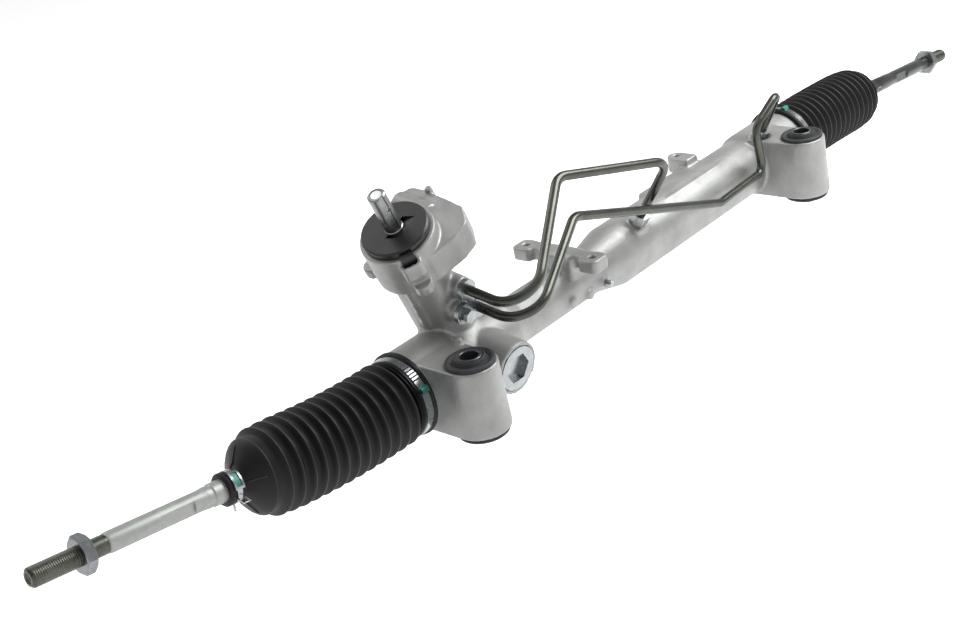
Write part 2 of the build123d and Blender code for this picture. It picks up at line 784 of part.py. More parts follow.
with BuildPart() as guide_spring:
    with BuildLine() as coil:
        Helix(pitch=spring_length / spring_turns, height=spring_length, radius=spring_radius,
              center=guide.from_local_coords(
                  Vector(0, 0, yoke_pocket_start + spring_wire_radius)),
              direction=guide_way)
    with BuildSketch(Plane(origin=coil.line @ 0, z_dir=coil.line % 0)):
        RegularPolygon(spring_wire_radius, 8)
    sweep(is_frenet=True)
keep(guide_spring.part, "guide_spring")
with BuildPart() as guide_plug:
    disc_on(guide.offset(plug_start), plug_radius - seat_clearance, plug_length)
    with BuildSketch(guide.offset(guide_end)):
        RegularPolygon(socket_across / 2, 6, major_radius=False)
    extrude(amount=-socket_depth, mode=Mode.SUBTRACT)
keep(guide_plug.part, "guide_plug")

# Rack bar with a flat of sloping teeth
rack_start = left_ball_x + socket_back
rack_end = right_ball_x - socket_back
tooth_way = tower_up * cos(tooth_angle) - along_rack * sin(tooth_angle)
step_way = along_rack * cos(tooth_angle) + tower_up * sin(tooth_angle)
slope = tan(radians(pressure_angle))
gap_at_pitch = pi * gear_module / 2 + tooth_side_gap
gap_at_tip = gap_at_pitch / 2 + (rack_addendum + 0.5) * slope
gap_at_root = gap_at_pitch / 2 - (pinion_addendum + tooth_root_gap) * slope
teeth_half_length = rack_tooth_count * rack_tooth_step / 2 + 2.0
with BuildPart() as rack_bar:
    spin(rack_line, ring(0, rack_radius, rack_start, rack_end - rack_start))
    chamfer(rack_bar.edges().filter_by(GeomType.CIRCLE), 1.0)
    spin(rack_line, ring(0, socket_stud_radius + seat_clearance, rack_start,
                         socket_stud_length + 2.0), mode=Mode.SUBTRACT)
    spin(rack_line, ring(0, socket_stud_radius + seat_clearance,
                         rack_end - socket_stud_length - 2.0,
                         socket_stud_length + 2.0), mode=Mode.SUBTRACT)
    with BuildSketch(Plane(origin=mesh_point - guide_way * rack_tip_height,
                           x_dir=along_rack, z_dir=-guide_way)):
        Rectangle(2 * teeth_half_length, 2 * rack_radius + 1.0)
    extrude(amount=rack_radius, mode=Mode.SUBTRACT)
    for index in range(rack_tooth_count):
        shift = (index - (rack_tooth_count - 1) / 2) * rack_tooth_step
        gap_plane = Plane(origin=mesh_point + along_rack * shift, x_dir=step_way,
                          z_dir=tooth_way)
        with BuildSketch(gap_plane, mode=Mode.PRIVATE) as gap:
            with BuildLine():
                Polyline(
                    (-gap_at_root, rack_root_height),
                    (gap_at_root, rack_root_height),
                    (gap_at_tip, rack_tip_height + 0.5),
                    (-gap_at_tip, rack_tip_height + 0.5),
                    close=True,
                )
            make_face()
        extrude(gap.sketch, amount=rack_radius + 2.0, both=True, mode=Mode.SUBTRACT)
keep(rack_bar.part, "rack_bar")

# Piston, its ring, seals and bushes that the rack slides through
piston_face = cylinder_bore_radius - 2 * running_clearance
with BuildPart() as piston:
    spin(rack_line, ring(rack_radius, piston_face, piston_x - piston_width / 2, piston_width))
    spin(rack_line, ring(piston_face - piston_ring_depth, piston_face + 1.0,
                         piston_x - piston_ring_width / 2, piston_ring_width),
         mode=Mode.SUBTRACT)
keep(piston.part, "piston")
with BuildPart() as piston_ring:
    spin(rack_line, ring(piston_face - piston_ring_depth, cylinder_bore_radius - 0.02,
                         piston_x - piston_ring_width / 2, piston_ring_width))
keep(piston_ring.part, "piston_ring")
rack_hole = rack_radius + running_clearance
with BuildPart() as inner_seal:
    spin(rack_line, ring(rack_hole, tube_bore_radius - seat_clearance, inner_seal_x,
                         inner_seal_length))
keep(inner_seal.part, "inner_rack_seal")
gland_bush_start = gland_x + gland_seal_length
with BuildPart() as gland_seal:
    spin(rack_line, ring(rack_hole, cylinder_bore_radius - 5.0, gland_x, gland_seal_length))
keep(gland_seal.part, "outer_rack_seal")
with BuildPart() as gland:
    spin(rack_line, [
        (rack_hole, gland_bush_start),
        (cylinder_bore_radius - 5.0, gland_bush_start),
        (cylinder_bore_radius - 5.0, gland_x),
        (cylinder_bore_radius - seat_clearance, gland_x),
        (cylinder_bore_radius - seat_clearance, gland_x + gland_length),
        (rack_hole, gland_x + gland_length),
    ])
keep(gland.part, "cylinder_gland")
with BuildPart() as gland_ring:
    spin(rack_line, ring(cylinder_bore_radius - 3.0, cylinder_bore_radius - seat_clearance,
                         gland_x + gland_length, gland_ring_width))
keep(gland_ring.part, "gland_snap_ring")


def swing_frame(ball_x, out, tilt):
    """Plane at a ball centre with z out along the tie rod, out being -1 left or 1 right."""
    lean = radians(tilt)
    way = Vector(out * cos(lean), 0, sin(lean))
    return Plane(origin=(ball_x, rack_offset, 0), x_dir=(0, 1, 0), z_dir=way)


liner_radius = ball_radius + liner_wall
for side, ball_x, out, tilt in (
    ("left", left_ball_x, -1, left_rod_tilt),
    ("right", right_ball_x, 1, right_rod_tilt),
):
    straight = swing_frame(ball_x, out, 0)
    rod = swing_frame(ball_x, out, tilt)

    # Ball socket screwed into the rack's end
    cavity_radius = liner_radius + running_clearance
    cavity_mouth = sqrt(cavity_radius ** 2 - socket_mouth_radius ** 2)
    with BuildPart() as ball_socket:
        with BuildSketch(side_of(straight)):
            with BuildLine():
                ThreePointArc((0, -cavity_radius), (cavity_radius, 0),
                              (socket_mouth_radius, cavity_mouth))
                Polyline(
                    (socket_mouth_radius, cavity_mouth),
                    (socket_mouth_radius, socket_front),
                    (socket_radius - 1.5, socket_front),
                    (socket_radius, socket_front - 2.5),
                    (socket_radius, -socket_back + 1.2),
                    (socket_radius - 1.2, -socket_back),
                    (socket_stud_radius, -socket_back),
                    (socket_stud_radius, -socket_back - socket_stud_length),
                    (0, -socket_back - socket_stud_length),
                    (0, -cavity_radius),
                )
            make_face()
        revolve(axis=Axis(straight.origin, straight.z_dir))
        with BuildSketch(straight.offset(-socket_back)):
            with Locations((0, socket_radius + 7.5), (0, -socket_radius - 7.5)):
                Rectangle(3 * socket_radius, 20.0)
        extrude(amount=7.0, mode=Mode.SUBTRACT)
    keep(ball_socket.part, side + "_ball_socket")

    # Plastic liner around the ball
    seat_radius = ball_radius + running_clearance
    with BuildPart() as ball_seat:
        with BuildSketch(side_of(straight)):
            with BuildLine():
                ThreePointArc(
                    (sqrt(liner_radius ** 2 - liner_back ** 2), liner_back),
                    (liner_radius, 0),
                    (sqrt(liner_radius ** 2 - liner_front ** 2), liner_front),
                )
                Line((sqrt(liner_radius ** 2 - liner_front ** 2), liner_front),
                     (sqrt(seat_radius ** 2 - liner_front ** 2), liner_front))
                ThreePointArc(
                    (sqrt(seat_radius ** 2 - liner_front ** 2), liner_front),
                    (seat_radius, 0),
                    (sqrt(seat_radius ** 2 - liner_back ** 2), liner_back),
                )
                Line((sqrt(seat_radius ** 2 - liner_back ** 2), liner_back),
                     (sqrt(liner_radius ** 2 - liner_back ** 2), liner_back))
            make_face()
        revolve(axis=Axis(straight.origin, straight.z_dir))
    keep(ball_seat.part, side + "_ball_seat")

    # Tie rod: ball, neck, forged shank with two wrench flats, thread
    thread_start = rod_length - thread_length
    nut_start = rod_length - nut_from_tip - jam_nut_height
    free_thread_start = nut_start + jam_nut_height + 0.5
    boot_end = left_boot_end if out < 0 else right_boot_end
    neck_join = sqrt(ball_radius ** 2 - stud_neck_radius ** 2)
    with BuildPart() as tie_rod:
        with BuildSketch(side_of(rod)):
            with BuildLine():
                ThreePointArc((0, -ball_radius), (ball_radius, 0),
                              (stud_neck_radius, neck_join))
                Polyline(
                    (stud_neck_radius, neck_join),
                    (stud_neck_radius, 17.0),
                    (rod_neck_radius, 24.0),
                    (rod_neck_radius, boot_end - 14.0),
                    (rod_shoulder_radius, boot_end - 12.0),
                    (rod_shoulder_radius, boot_end + 10.0),
                    (rod_neck_radius + 0.6, boot_end + 16.0),
                    (rod_neck_radius, boot_end + 40.0),
                    (rod_neck_radius, thread_start - 2.0),
                    (thread_under_nut_radius, thread_start),
                    (thread_under_nut_radius, free_thread_start),
                    (thread_radius, free_thread_start),
                    (thread_radius, rod_length - 1.5),
                    (thread_radius - 1.5, rod_length),
                    (0, rod_length),
                    (0, -ball_radius),
                )
            make_face()
        revolve(axis=Axis(rod.origin, rod.z_dir))
        with BuildSketch(rod.offset(flats_from_ball)):
            with Locations((0, flats_across / 2 + 5.0), (0, -flats_across / 2 - 5.0)):
                Rectangle(4 * rod_neck_radius, 10.0)
        extrude(amount=flats_length, mode=Mode.SUBTRACT)
    keep(tie_rod.part, side + "_tie_rod")

    # Jam nut on the thread
    with BuildPart() as jam_nut:
        with BuildSketch(rod.offset(nut_start)):
            RegularPolygon(jam_nut_across / 2, 6, major_radius=False)
        extrude(amount=jam_nut_height)
        corner_radius = jam_nut_across / sqrt(3)
        spin(rod, [
            (0, nut_start),
            (jam_nut_across / 2 - 0.4, nut_start),
            (corner_radius + 0.2, nut_start + 1.2),
            (corner_radius + 0.2, nut_start + jam_nut_height - 1.2),
            (jam_nut_across / 2 - 0.4, nut_start + jam_nut_height),
            (0, nut_start + jam_nut_height),
        ], mode=Mode.INTERSECT)
        disc_on(rod.offset(nut_start), thread_under_nut_radius + running_clearance, jam_nut_height,
                mode=Mode.SUBTRACT)
    keep(jam_nut.part, side + "_jam_nut")

    # Rubber boot, ruled through rings along a centre line that bends at the ball
    housing_face = housing_start if out < 0 else housing_end
    straight_length = abs(ball_x - housing_face)
    crests = left_crest_count if out < 0 else right_crest_count
    lean = radians(abs(tilt))
    bend_reach = straight_length - 2.0
    bend_radius = bend_reach / tan(lean / 2)
    rise = 1 if tilt > 0 else -1

    def boot_ring(along):
        """Plane across the boot at a distance from the housing's end face."""
        into_bend = along - (straight_length - bend_reach)
        if into_bend <= 0:
            spot, angle = (along, 0.0), 0.0
        elif into_bend < bend_radius * lean:
            angle = into_bend / bend_radius
            spot = (straight_length - bend_reach + bend_radius * sin(angle),
                    bend_radius * (1 - cos(angle)))
        else:
            angle = lean
            past = into_bend - bend_radius * lean + bend_reach
            spot = (straight_length + past * cos(lean), past * sin(lean))
        origin = Vector(housing_face + out * spot[0], rack_offset, rise * spot[1])
        way = Vector(out * cos(angle), 0, rise * sin(angle))
        return Plane(origin=origin, x_dir=(0, 1, 0), z_dir=way)

    arc_saving = 2 * bend_reach - bend_radius * lean
    boot_length = straight_length + boot_end - arc_saving
    cuff_start = boot_length - cuff_length
    collar_start = -bead_length - boot_seat_length
    first_crest = 6.0
    dome_at = cuff_start - 14.0
    crest_step = (dome_at - first_crest) / crests
    outer_rings = [
        (collar_start, boot_seat_radius + collar_wall + 1.0),
        (collar_start + 1.2, boot_seat_radius + collar_wall + 1.0),
        (collar_start + 1.5, boot_seat_radius + collar_wall),
        (-1.5, boot_seat_radius + collar_wall),
        (0.5, boot_seat_radius + 2.2),
    ]
    for crest in range(crests):
        middle = first_crest + crest * crest_step
        fade = max(0, crest - crests + 3)
        top = crest_radius - (0.4, 0.0, 0.9, 2.6)[min(fade + 1, 3)] if fade else crest_radius
        outer_rings.append((middle - 0.7, top))
        outer_rings.append((middle + 0.7, top))
        outer_rings.append((middle + crest_step / 2, top - valley_drop))
    outer_rings += [
        (dome_at - 0.7, dome_radius),
        (dome_at + 0.9, dome_radius),
        (dome_at + 5.0, dome_radius - 4.4),
        (cuff_start - 0.5, cuff_radius),
        (boot_length, cuff_radius),
    ]
    inner_rings = [
        (collar_start - 1.0, boot_seat_radius + 0.02),
        (-bead_length - 0.3, boot_seat_radius + 0.02),
        (-bead_length, bead_radius + 0.02),
        (soft_clearance, bead_radius + 0.02),
        (1.5, boot_bore_radius),
        (straight_length / 2, boot_bore_radius),
        (straight_length, boot_bore_radius),
        (dome_at - 24.0, boot_bore_radius - 1.0),
        (dome_at - 2.0, boot_bore_radius - 2.5),
        (cuff_start - 2.0, rod_shoulder_radius + soft_clearance),
        (boot_length + 1.0, rod_shoulder_radius + soft_clearance),
    ]
    with BuildPart() as boot:
        for along, radius in outer_rings:
            with BuildSketch(boot_ring(along)):
                Circle(radius)
        loft(ruled=True)
        for along, radius in inner_rings:
            with BuildSketch(boot_ring(along)):
                Circle(radius)
        loft(ruled=True, mode=Mode.SUBTRACT)
    keep(boot.part, side + "_boot")

    # Steel band on the boot's wide end, with its pinched ear
    collar = boot_ring(0)
    band_start = collar_start + band_from_end
    band_radius = boot_seat_radius + collar_wall
    ear_way = radians(205 if out < 0 else 100)
    with BuildPart() as boot_band:
        spin(collar, ring(band_radius, band_radius + band_wall, band_start, band_width))
        with BuildSketch(collar.offset(band_start)):
            with Locations(((band_radius + 2.3) * cos(ear_way), (band_radius + 2.3) * sin(ear_way))):
                Rectangle(3.4, 7.0, rotation=205 if out < 0 else 100)
        extrude(amount=band_width)
    keep(boot_band.part, side + "_boot_band")

    # Spring clip on the boot's cuff
    cuff_middle = boot_end - cuff_length / 2
    with BuildPart() as boot_clip:
        spin(rod, ring(cuff_radius, cuff_radius + 1.1, cuff_middle - 2.5, 5.0))
        with BuildSketch(rod.offset(cuff_middle - 2.5)):
            with Locations((3.0, -cuff_radius - 3.4), (-3.0, -cuff_radius - 3.4)):
                Rectangle(1.2, 6.0)
        extrude(amount=5.0)
    keep(boot_clip.part, side + "_boot_clip")

# Pressure pipes from the tower's flange to the two ends of the cylinder
pipe_inset = pipe_socket_depth - 0.5
port_seat = port_height - port_drill_depth + 0.5
pipe_a_start = flange.from_local_coords(Vector(pipe_a_side, pipe_a_up, -pipe_inset))
pipe_b_start = flange.from_local_coords(Vector(pipe_b_side, pipe_b_up, -pipe_inset))
pipe_a_route = [
    pipe_a_start,
    pipe_a_start + guide_way * (pipe_inset + pipe_a_reach),
    Vector(pipe_a_peak_x, pipe_peak_y, pipe_a_peak_z),
    port_a.origin + port_a.z_dir * pipe_a_rise,
    port_a.origin + port_a.z_dir * port_seat,
]
pipe_b_route = [
    pipe_b_start,
    pipe_b_start + guide_way * (pipe_inset + pipe_b_reach),
    Vector(pipe_b_peak_x, pipe_peak_y, pipe_b_peak_z),
    Vector(port_b_x - pipe_b_low_run, pipe_b_low_y, pipe_b_low_z),
    Vector(port_b_x - pipe_b_low_end, pipe_b_climb_y, pipe_b_foot_z),
    Vector(port_b_x - pipe_b_climb_end, pipe_b_climb_y, pipe_b_climb_z),
    port_b.origin + port_b.z_dir * pipe_b_rise,
    port_b.origin + port_b.z_dir * port_seat,
]
pipe_a_bends = [pipe_radius * share for share in (6.25, 4.5, 5.0)]
pipe_b_bends = [pipe_radius * share for share in (6.15, 4.075, 4.0, 2.25, 3.75, 2.25)]
for label, route, bends in (
    ("cylinder_pipe_near", pipe_a_route, pipe_a_bends),
    ("cylinder_pipe_far", pipe_b_route, pipe_b_bends),
):
    with BuildPart() as pipe:
        with BuildLine():
            run = FilletPolyline(*route, radius=bends)
        with BuildSketch(Plane(origin=run @ 0, z_dir=run % 0)):
            Circle(pipe_radius)
        sweep()
    keep(pipe.part, label)
    print(label, "volume over section times length",
          round(pipe.part.volume / (pi * pipe_radius ** 2 * run.length), 4))

# Flange plate and bolt that hold both pipes on the tower
with BuildPart() as pipe_flange:
    with BuildSketch(flange):
        with Locations(*flange_spots):
            Circle(lobe_radius)
        with BuildLine():
            Polyline(*flange_spots, close=True)
        make_face()
        with Locations(*flange_spots[:2]):
            Circle(pipe_radius + seat_clearance, mode=Mode.SUBTRACT)
        with Locations(flange_spots[2]):
            Circle(bolt_radius + seat_clearance, mode=Mode.SUBTRACT)
    extrude(amount=flange_thickness)
keep(pipe_flange.part, "pipe_flange")
with BuildPart() as flange_bolt:
    disc_on(flange.offset(flange_thickness - bolt_length), bolt_radius, bolt_length,
            spots=flange_spots[2:])
    disc_on(flange.offset(flange_thickness), 6.8, 1.2, spots=flange_spots[2:])
    with BuildSketch(flange.offset(flange_thickness + 1.2)):
        with Locations(flange_spots[2]):
            RegularPolygon(bolt_head_across / 2, 6, major_radius=False)
    extrude(amount=bolt_head_height)
keep(flange_bolt.part, "flange_bolt")
with BuildPart() as union_nuts:
    for port in (port_a, port_b):
        with BuildSketch(port.offset(port_height)):
            RegularPolygon(union_across / 2, 6, major_radius=False)
            Circle(pipe_radius + seat_clearance, mode=Mode.SUBTRACT)
        extrude(amount=union_height)
keep(union_nuts.part, "union_nuts")
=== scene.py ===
import json
import math

import bmesh
import bpy
from bpy.props import FloatProperty, FloatVectorProperty, IntProperty, PointerProperty
from mathutils import Matrix, Vector


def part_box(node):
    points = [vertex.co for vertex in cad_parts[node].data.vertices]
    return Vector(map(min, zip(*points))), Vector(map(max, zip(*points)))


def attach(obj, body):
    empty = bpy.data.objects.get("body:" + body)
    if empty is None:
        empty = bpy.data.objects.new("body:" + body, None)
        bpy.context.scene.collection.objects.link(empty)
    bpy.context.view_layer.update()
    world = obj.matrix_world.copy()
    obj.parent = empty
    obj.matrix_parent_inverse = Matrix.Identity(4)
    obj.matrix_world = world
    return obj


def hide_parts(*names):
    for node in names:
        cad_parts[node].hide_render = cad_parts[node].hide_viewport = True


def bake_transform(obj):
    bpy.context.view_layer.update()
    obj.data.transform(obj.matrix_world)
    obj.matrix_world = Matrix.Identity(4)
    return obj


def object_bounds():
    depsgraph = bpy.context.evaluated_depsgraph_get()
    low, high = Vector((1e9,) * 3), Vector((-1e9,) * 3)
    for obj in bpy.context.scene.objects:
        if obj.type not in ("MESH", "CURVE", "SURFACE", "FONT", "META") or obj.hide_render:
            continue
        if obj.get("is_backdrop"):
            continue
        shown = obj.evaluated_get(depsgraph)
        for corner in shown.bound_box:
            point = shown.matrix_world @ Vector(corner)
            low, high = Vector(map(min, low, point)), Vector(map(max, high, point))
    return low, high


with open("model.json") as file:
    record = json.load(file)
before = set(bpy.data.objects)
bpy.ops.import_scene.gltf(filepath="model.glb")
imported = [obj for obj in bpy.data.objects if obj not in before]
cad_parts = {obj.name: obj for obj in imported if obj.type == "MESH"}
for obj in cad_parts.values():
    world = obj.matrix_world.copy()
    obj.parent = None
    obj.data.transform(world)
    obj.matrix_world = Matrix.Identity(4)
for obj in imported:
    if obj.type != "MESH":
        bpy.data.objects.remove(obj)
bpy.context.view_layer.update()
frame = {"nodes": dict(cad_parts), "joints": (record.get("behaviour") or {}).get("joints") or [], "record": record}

bl_info = {
    "name": "Steering Rack Dressing",
    "version": (1, 0, 0),
    "blender": (4, 5, 0),
    "location": "View3D > Sidebar > Rack",
    "description": "Castings, boots, clips, threads, finishes and studio for a steering rack",
    "category": "Object",
}

MM = 0.001
JOINTS = {joint["name"]: joint for joint in frame["joints"]}
NODES = frame["nodes"]


# Colours and materials

def linear(code):
    """Linear red, green, blue and alpha of an sRGB hex colour."""
    parts = [int(code[i:i + 2], 16) / 255 for i in (1, 3, 5)]
    return [c / 12.92 if c < 0.04045 else ((c + 0.055) / 1.055) ** 2.4 for c in parts] + [1.0]


def add(tree, kind, inputs=None, **settings):
    """Adds one node to a tree, with its settings, values and links."""
    made = tree.nodes.new(kind)
    for name, value in settings.items():
        setattr(made, name, value)
    for name, value in (inputs or {}).items():
        socket = made.inputs[name]
        if isinstance(value, bpy.types.NodeSocket):
            tree.links.new(value, socket)
        else:
            socket.default_value = value
    return made


def ramp(tree, factor, stops):
    """A colour ramp from (position, hex or grey) stops."""
    made = add(tree, "ShaderNodeValToRGB", {"Fac": factor})
    elements = made.color_ramp.elements
    while len(elements) < len(stops):
        elements.new(0.5)
    for element, (position, colour) in zip(elements, stops):
        element.position = position
        grey = [colour] * 3 + [1.0]
        element.color = linear(colour) if isinstance(colour, str) else grey
    return made.outputs["Color"]


def start(name):
    """A new material with its shader and the object's own coordinates in millimetres."""
    material = bpy.data.materials.new(name)
    material.use_nodes = True
    tree = material.node_tree
    shader = tree.nodes["Principled BSDF"]
    place = add(tree, "ShaderNodeTexCoord").outputs["Object"]
    grid = add(tree, "ShaderNodeMapping", {"Vector": place, "Scale": (1000.0, 1000.0, 1000.0)})
    return material, tree, shader, grid.outputs["Vector"]


def noise(tree, place, size, detail=2.0, rough=0.5, stretch=None):
    """Noise whose lumps are about size millimetres wide, stretched along an axis if asked."""
    if stretch:
        stretched = add(tree, "ShaderNodeMapping", {"Vector": place, "Scale": stretch})
        place = stretched.outputs["Vector"]
    made = add(tree, "ShaderNodeTexNoise",
               {"Vector": place, "Scale": 1.0 / size, "Detail": detail, "Roughness": rough})
    return made.outputs["Fac"]


def bumps(tree, shader, *layers):
    """Chains bump layers of (height, depth in millimetres) into the shader's normal."""
    normal = None
    for height, depth in layers:
        inputs = {"Height": height, "Distance": depth * MM, "Strength": 1.0}
        if normal is not None:
            inputs["Normal"] = normal
        normal = add(tree, "ShaderNodeBump", inputs).outputs["Normal"]
    tree.links.new(normal, shader.inputs["Normal"])


def sand_cast_aluminium():
    """Sand cast aluminium, shot blasted: pale grey with a fine grain and soft cloudy patches."""
    material, tree, shader, place = start("sand_cast_aluminium")
    clouds = noise(tree, place, 26.0, 3.0)
    grain = noise(tree, place, 1.1, 3.0, 0.65)
    skin = noise(tree, place, 5.0, 2.0)
    tone = add(tree, "ShaderNodeMix", {0: 0.22, 2: clouds, 3: grain}, data_type="FLOAT")
    colour = ramp(tree, tone.outputs[0], [(0.3, "#8d8e8d"), (0.5, "#9b9c9a"), (0.7, "#a7a8a5")])
    tree.links.new(colour, shader.inputs["Base Color"])
    shader.inputs["Metallic"].default_value = 0.55
    shine = add(tree, "ShaderNodeMapRange", {"Value": skin, "To Min": 0.38, "To Max": 0.54})
    tree.links.new(shine.outputs["Result"], shader.inputs["Roughness"])
    bumps(tree, shader, (skin, 0.25), (grain, 0.12))
    return material


def machined_aluminium():
    """Turned aluminium: brighter than the casting, with fine tool rings."""
    material, tree, shader, place = start("machined_aluminium")
    rings = noise(tree, place, 0.5, 1.0, 0.4)
    patches = noise(tree, place, 9.0)
    colour = ramp(tree, patches, [(0.35, "#b9babb"), (0.65, "#cfd0d0")])
    tree.links.new(colour, shader.inputs["Base Color"])
    shader.inputs["Metallic"].default_value = 0.85
    shader.inputs["Roughness"].default_value = 0.34
    bumps(tree, shader, (rings, 0.04))
    return material


def boot_rubber():
    """Moulded bellows rubber: near black and dull, with a painted highlight, a paler grey, along its crests."""
    material, tree, shader, place = start("moulded_chloroprene_rubber")
    bloom = noise(tree, place, 14.0, 3.0, 0.6)
    grain = noise(tree, place, 1.2, 2.0, 0.6)
    body = ramp(tree, bloom, [(0.35, "#060607"), (0.6, "#0a0a0b"), (0.8, "#101011")])
    # Painted highlight: a per-vertex mask mixes a paler grey into each crest, standing in for the lamps' sheen
    # there.
    crest_highlight = add(tree, "ShaderNodeAttribute", attribute_name="crest_highlight").outputs["Fac"]
    colour = add(tree, "ShaderNodeMix", {0: crest_highlight, 6: body, 7: linear("#3a3b3d")},
                 data_type="RGBA")
    tree.links.new(colour.outputs[2], shader.inputs["Base Color"])
    shine = add(tree, "ShaderNodeMapRange", {"Value": bloom, "To Min": 0.44, "To Max": 0.56})
    tree.links.new(shine.outputs["Result"], shader.inputs["Roughness"])
    shader.inputs["Specular IOR Level"].default_value = 0.3
    bumps(tree, shader, (bloom, 0.12), (grain, 0.03))
    return material


def bush_rubber():
    """Moulded natural rubber of the bushes: dark grey, matt, with a faint flow pattern."""
    material, tree, shader, place = start("moulded_natural_rubber")
    bloom = noise(tree, place, 6.0, 3.0, 0.6)
    grain = noise(tree, place, 0.9, 2.0, 0.6)
    colour = ramp(tree, bloom, [(0.3, "#1f2022"), (0.7, "#2d2e30")])
    tree.links.new(colour, shader.inputs["Base Color"])
    shader.inputs["Roughness"].default_value = 0.62
    bumps(tree, shader, (bloom, 0.1), (grain, 0.05))
    return material


def zinc_plate():
    """Bright zinc plating on steel: silver, slightly blue, with a soft uneven shine."""
    material, tree, shader, place = start("zinc_plated_steel")
    cloud = noise(tree, place, 9.0, 2.0, 0.5)
    grain = noise(tree, place, 0.8, 2.0)
    colour = ramp(tree, cloud, [(0.3, "#94989b"), (0.7, "#a4a8aa")])
    tree.links.new(colour, shader.inputs["Base Color"])
    shader.inputs["Metallic"].default_value = 0.95
    shine = add(tree, "ShaderNodeMapRange", {"Value": cloud, "To Min": 0.22, "To Max": 0.32})
    tree.links.new(shine.outputs["Result"], shader.inputs["Roughness"])
    bumps(tree, shader, (grain, 0.006))
    return material


def pipe_coating():
    """Phosphated and oiled steel tube: dark olive grey under an even satin sheen."""
    material, tree, shader, place = start("phosphated_steel_tube")
    cloud = noise(tree, place, 22.0, 2.0, 0.5)
    grain = noise(tree, place, 0.9, 2.0, 0.6)
    colour = ramp(tree, cloud, [(0.3, "#454743"), (0.7, "#54564f")])
    tree.links.new(colour, shader.inputs["Base Color"])
    shader.inputs["Metallic"].default_value = 0.9
    shine = add(tree, "ShaderNodeMapRange", {"Value": cloud, "To Min": 0.24, "To Max": 0.3})
    tree.links.new(shine.outputs["Result"], shader.inputs["Roughness"])
    bumps(tree, shader, (grain, 0.02))
    return material


def steel(name, dark, light, size, rough, metallic=0.9, depth=0.04, stretch=None):
    """Bare steel whose marks are size millimetres wide, drawn out along an axis if asked."""
    material, tree, shader, place = start(name)
    marks = noise(tree, place, size, 3.0, 0.6, stretch)
    patch = noise(tree, place, 12.0, 2.0)
    tone = add(tree, "ShaderNodeMix", {0: 0.5, 2: marks, 3: patch}, data_type="FLOAT")
    colour = ramp(tree, tone.outputs[0], [(0.35, dark), (0.65, light)])
    tree.links.new(colour, shader.inputs["Base Color"])
    shader.inputs["Metallic"].default_value = metallic
    shine = add(tree, "ShaderNodeMapRange",
                {"Value": marks, "To Min": rough - 0.07, "To Max": rough + 0.07})
    tree.links.new(shine.outputs["Result"], shader.inputs["Roughness"])
    bumps(tree, shader, (marks, depth))
    return material


def plastic(name, dark, light, rough, grain_mm=0.8, depth=0.05):
    """Moulded plastic with a spark eroded grain."""
    material, tree, shader, place = start(name)
    flow = noise(tree, place, 15.0, 2.0)
    grain = noise(tree, place, grain_mm, 2.0, 0.6)
    colour = ramp(tree, flow, [(0.35, dark), (0.7, light)])
    tree.links.new(colour, shader.inputs["Base Color"])
    shine = add(tree, "ShaderNodeMapRange",
                {"Value": flow, "To Min": rough - 0.06, "To Max": rough + 0.06})
    tree.links.new(shine.outputs["Result"], shader.inputs["Roughness"])
    bumps(tree, shader, (grain, depth))
    return material


def make_finishes():
    """All finishes by the record's slot names, with extra ones for paint and threads."""
    return {
        "cast_aluminium": sand_cast_aluminium(),
        "gland_aluminium": machined_aluminium(),
        "black_rubber": boot_rubber(),
        "bush_rubber": bush_rubber(),
        "zinc_plate": zinc_plate(),
        "pipe_steel": pipe_coating(),
        # Ground and hardened bar, marks drawn along the rack
        "rack_steel": steel("ground_hardened_steel", "#8d8f91", "#b4b6b7", 1.2, 0.3,
                            stretch=(0.05, 1.0, 1.0)),
        # Forged shank under a pale matt coating, like the near tie rod
        "forged_steel": steel("coated_forged_steel", "#989b98", "#a8aba7", 5.0, 0.5, 0.6, 0.04),
        # Forged shank with a darker phosphate skin, like the far tie rod
        "dark_steel": steel("phosphated_forged_steel", "#3f4142", "#4e5050", 5.0, 0.3, 0.9, 0.02),
        # Rolled and oiled thread, dark olive grey
        "thread_steel": steel("rolled_thread_steel", "#4a4c45", "#5c5e56", 3.0, 0.34, 0.9, 0.004),
        # Ground shaft, satin grey with faint lathe lines
        "bright_steel": steel("ground_shaft_steel", "#7a7c7c", "#929493", 0.7, 0.32, 0.95, 0.006),
        "bearing_steel": steel("polished_bearing_steel", "#b5b8ba", "#d2d4d5", 0.8, 0.18, 0.95,
                               0.02),
        # Drawn tube of the bush sleeves
        "bush_steel": steel("drawn_tube_steel", "#4c4d4f", "#66686a", 1.0, 0.38, 0.85, 0.04,
                            (1.0, 1.0, 0.08)),
        "spring_steel": steel("oiled_spring_steel", "#45474a", "#64676a", 0.8, 0.32, 0.85, 0.03),
        # Glass filled nylon of the dust cover, black with a fine spark grain
        "cover_plastic": plastic("glass_filled_nylon", "#08090a", "#131416", 0.4),
        "liner_plastic": plastic("natural_acetal", "#d8d6cb", "#e6e4da", 0.4),
        "ring_plastic": plastic("filled_ptfe", "#3b2f25", "#544537", 0.5),
        "seal_rubber": plastic("nitrile_seal_rubber", "#161617", "#242425", 0.5, 1.0, 0.03),
        # Darker zinc of the nuts, with a harder shine
        "nut_zinc": steel("passivated_zinc_nut", "#74777a", "#878a8c", 4.0, 0.27, 0.95, 0.006),
        # Paint dabs that mark a tightened clamp
        "marking_paint": plastic("marking_paint", "#1f6f63", "#2f8b7b", 0.38, 1.5, 0.06),
    }


FINISHES = {}


# Mesh helpers

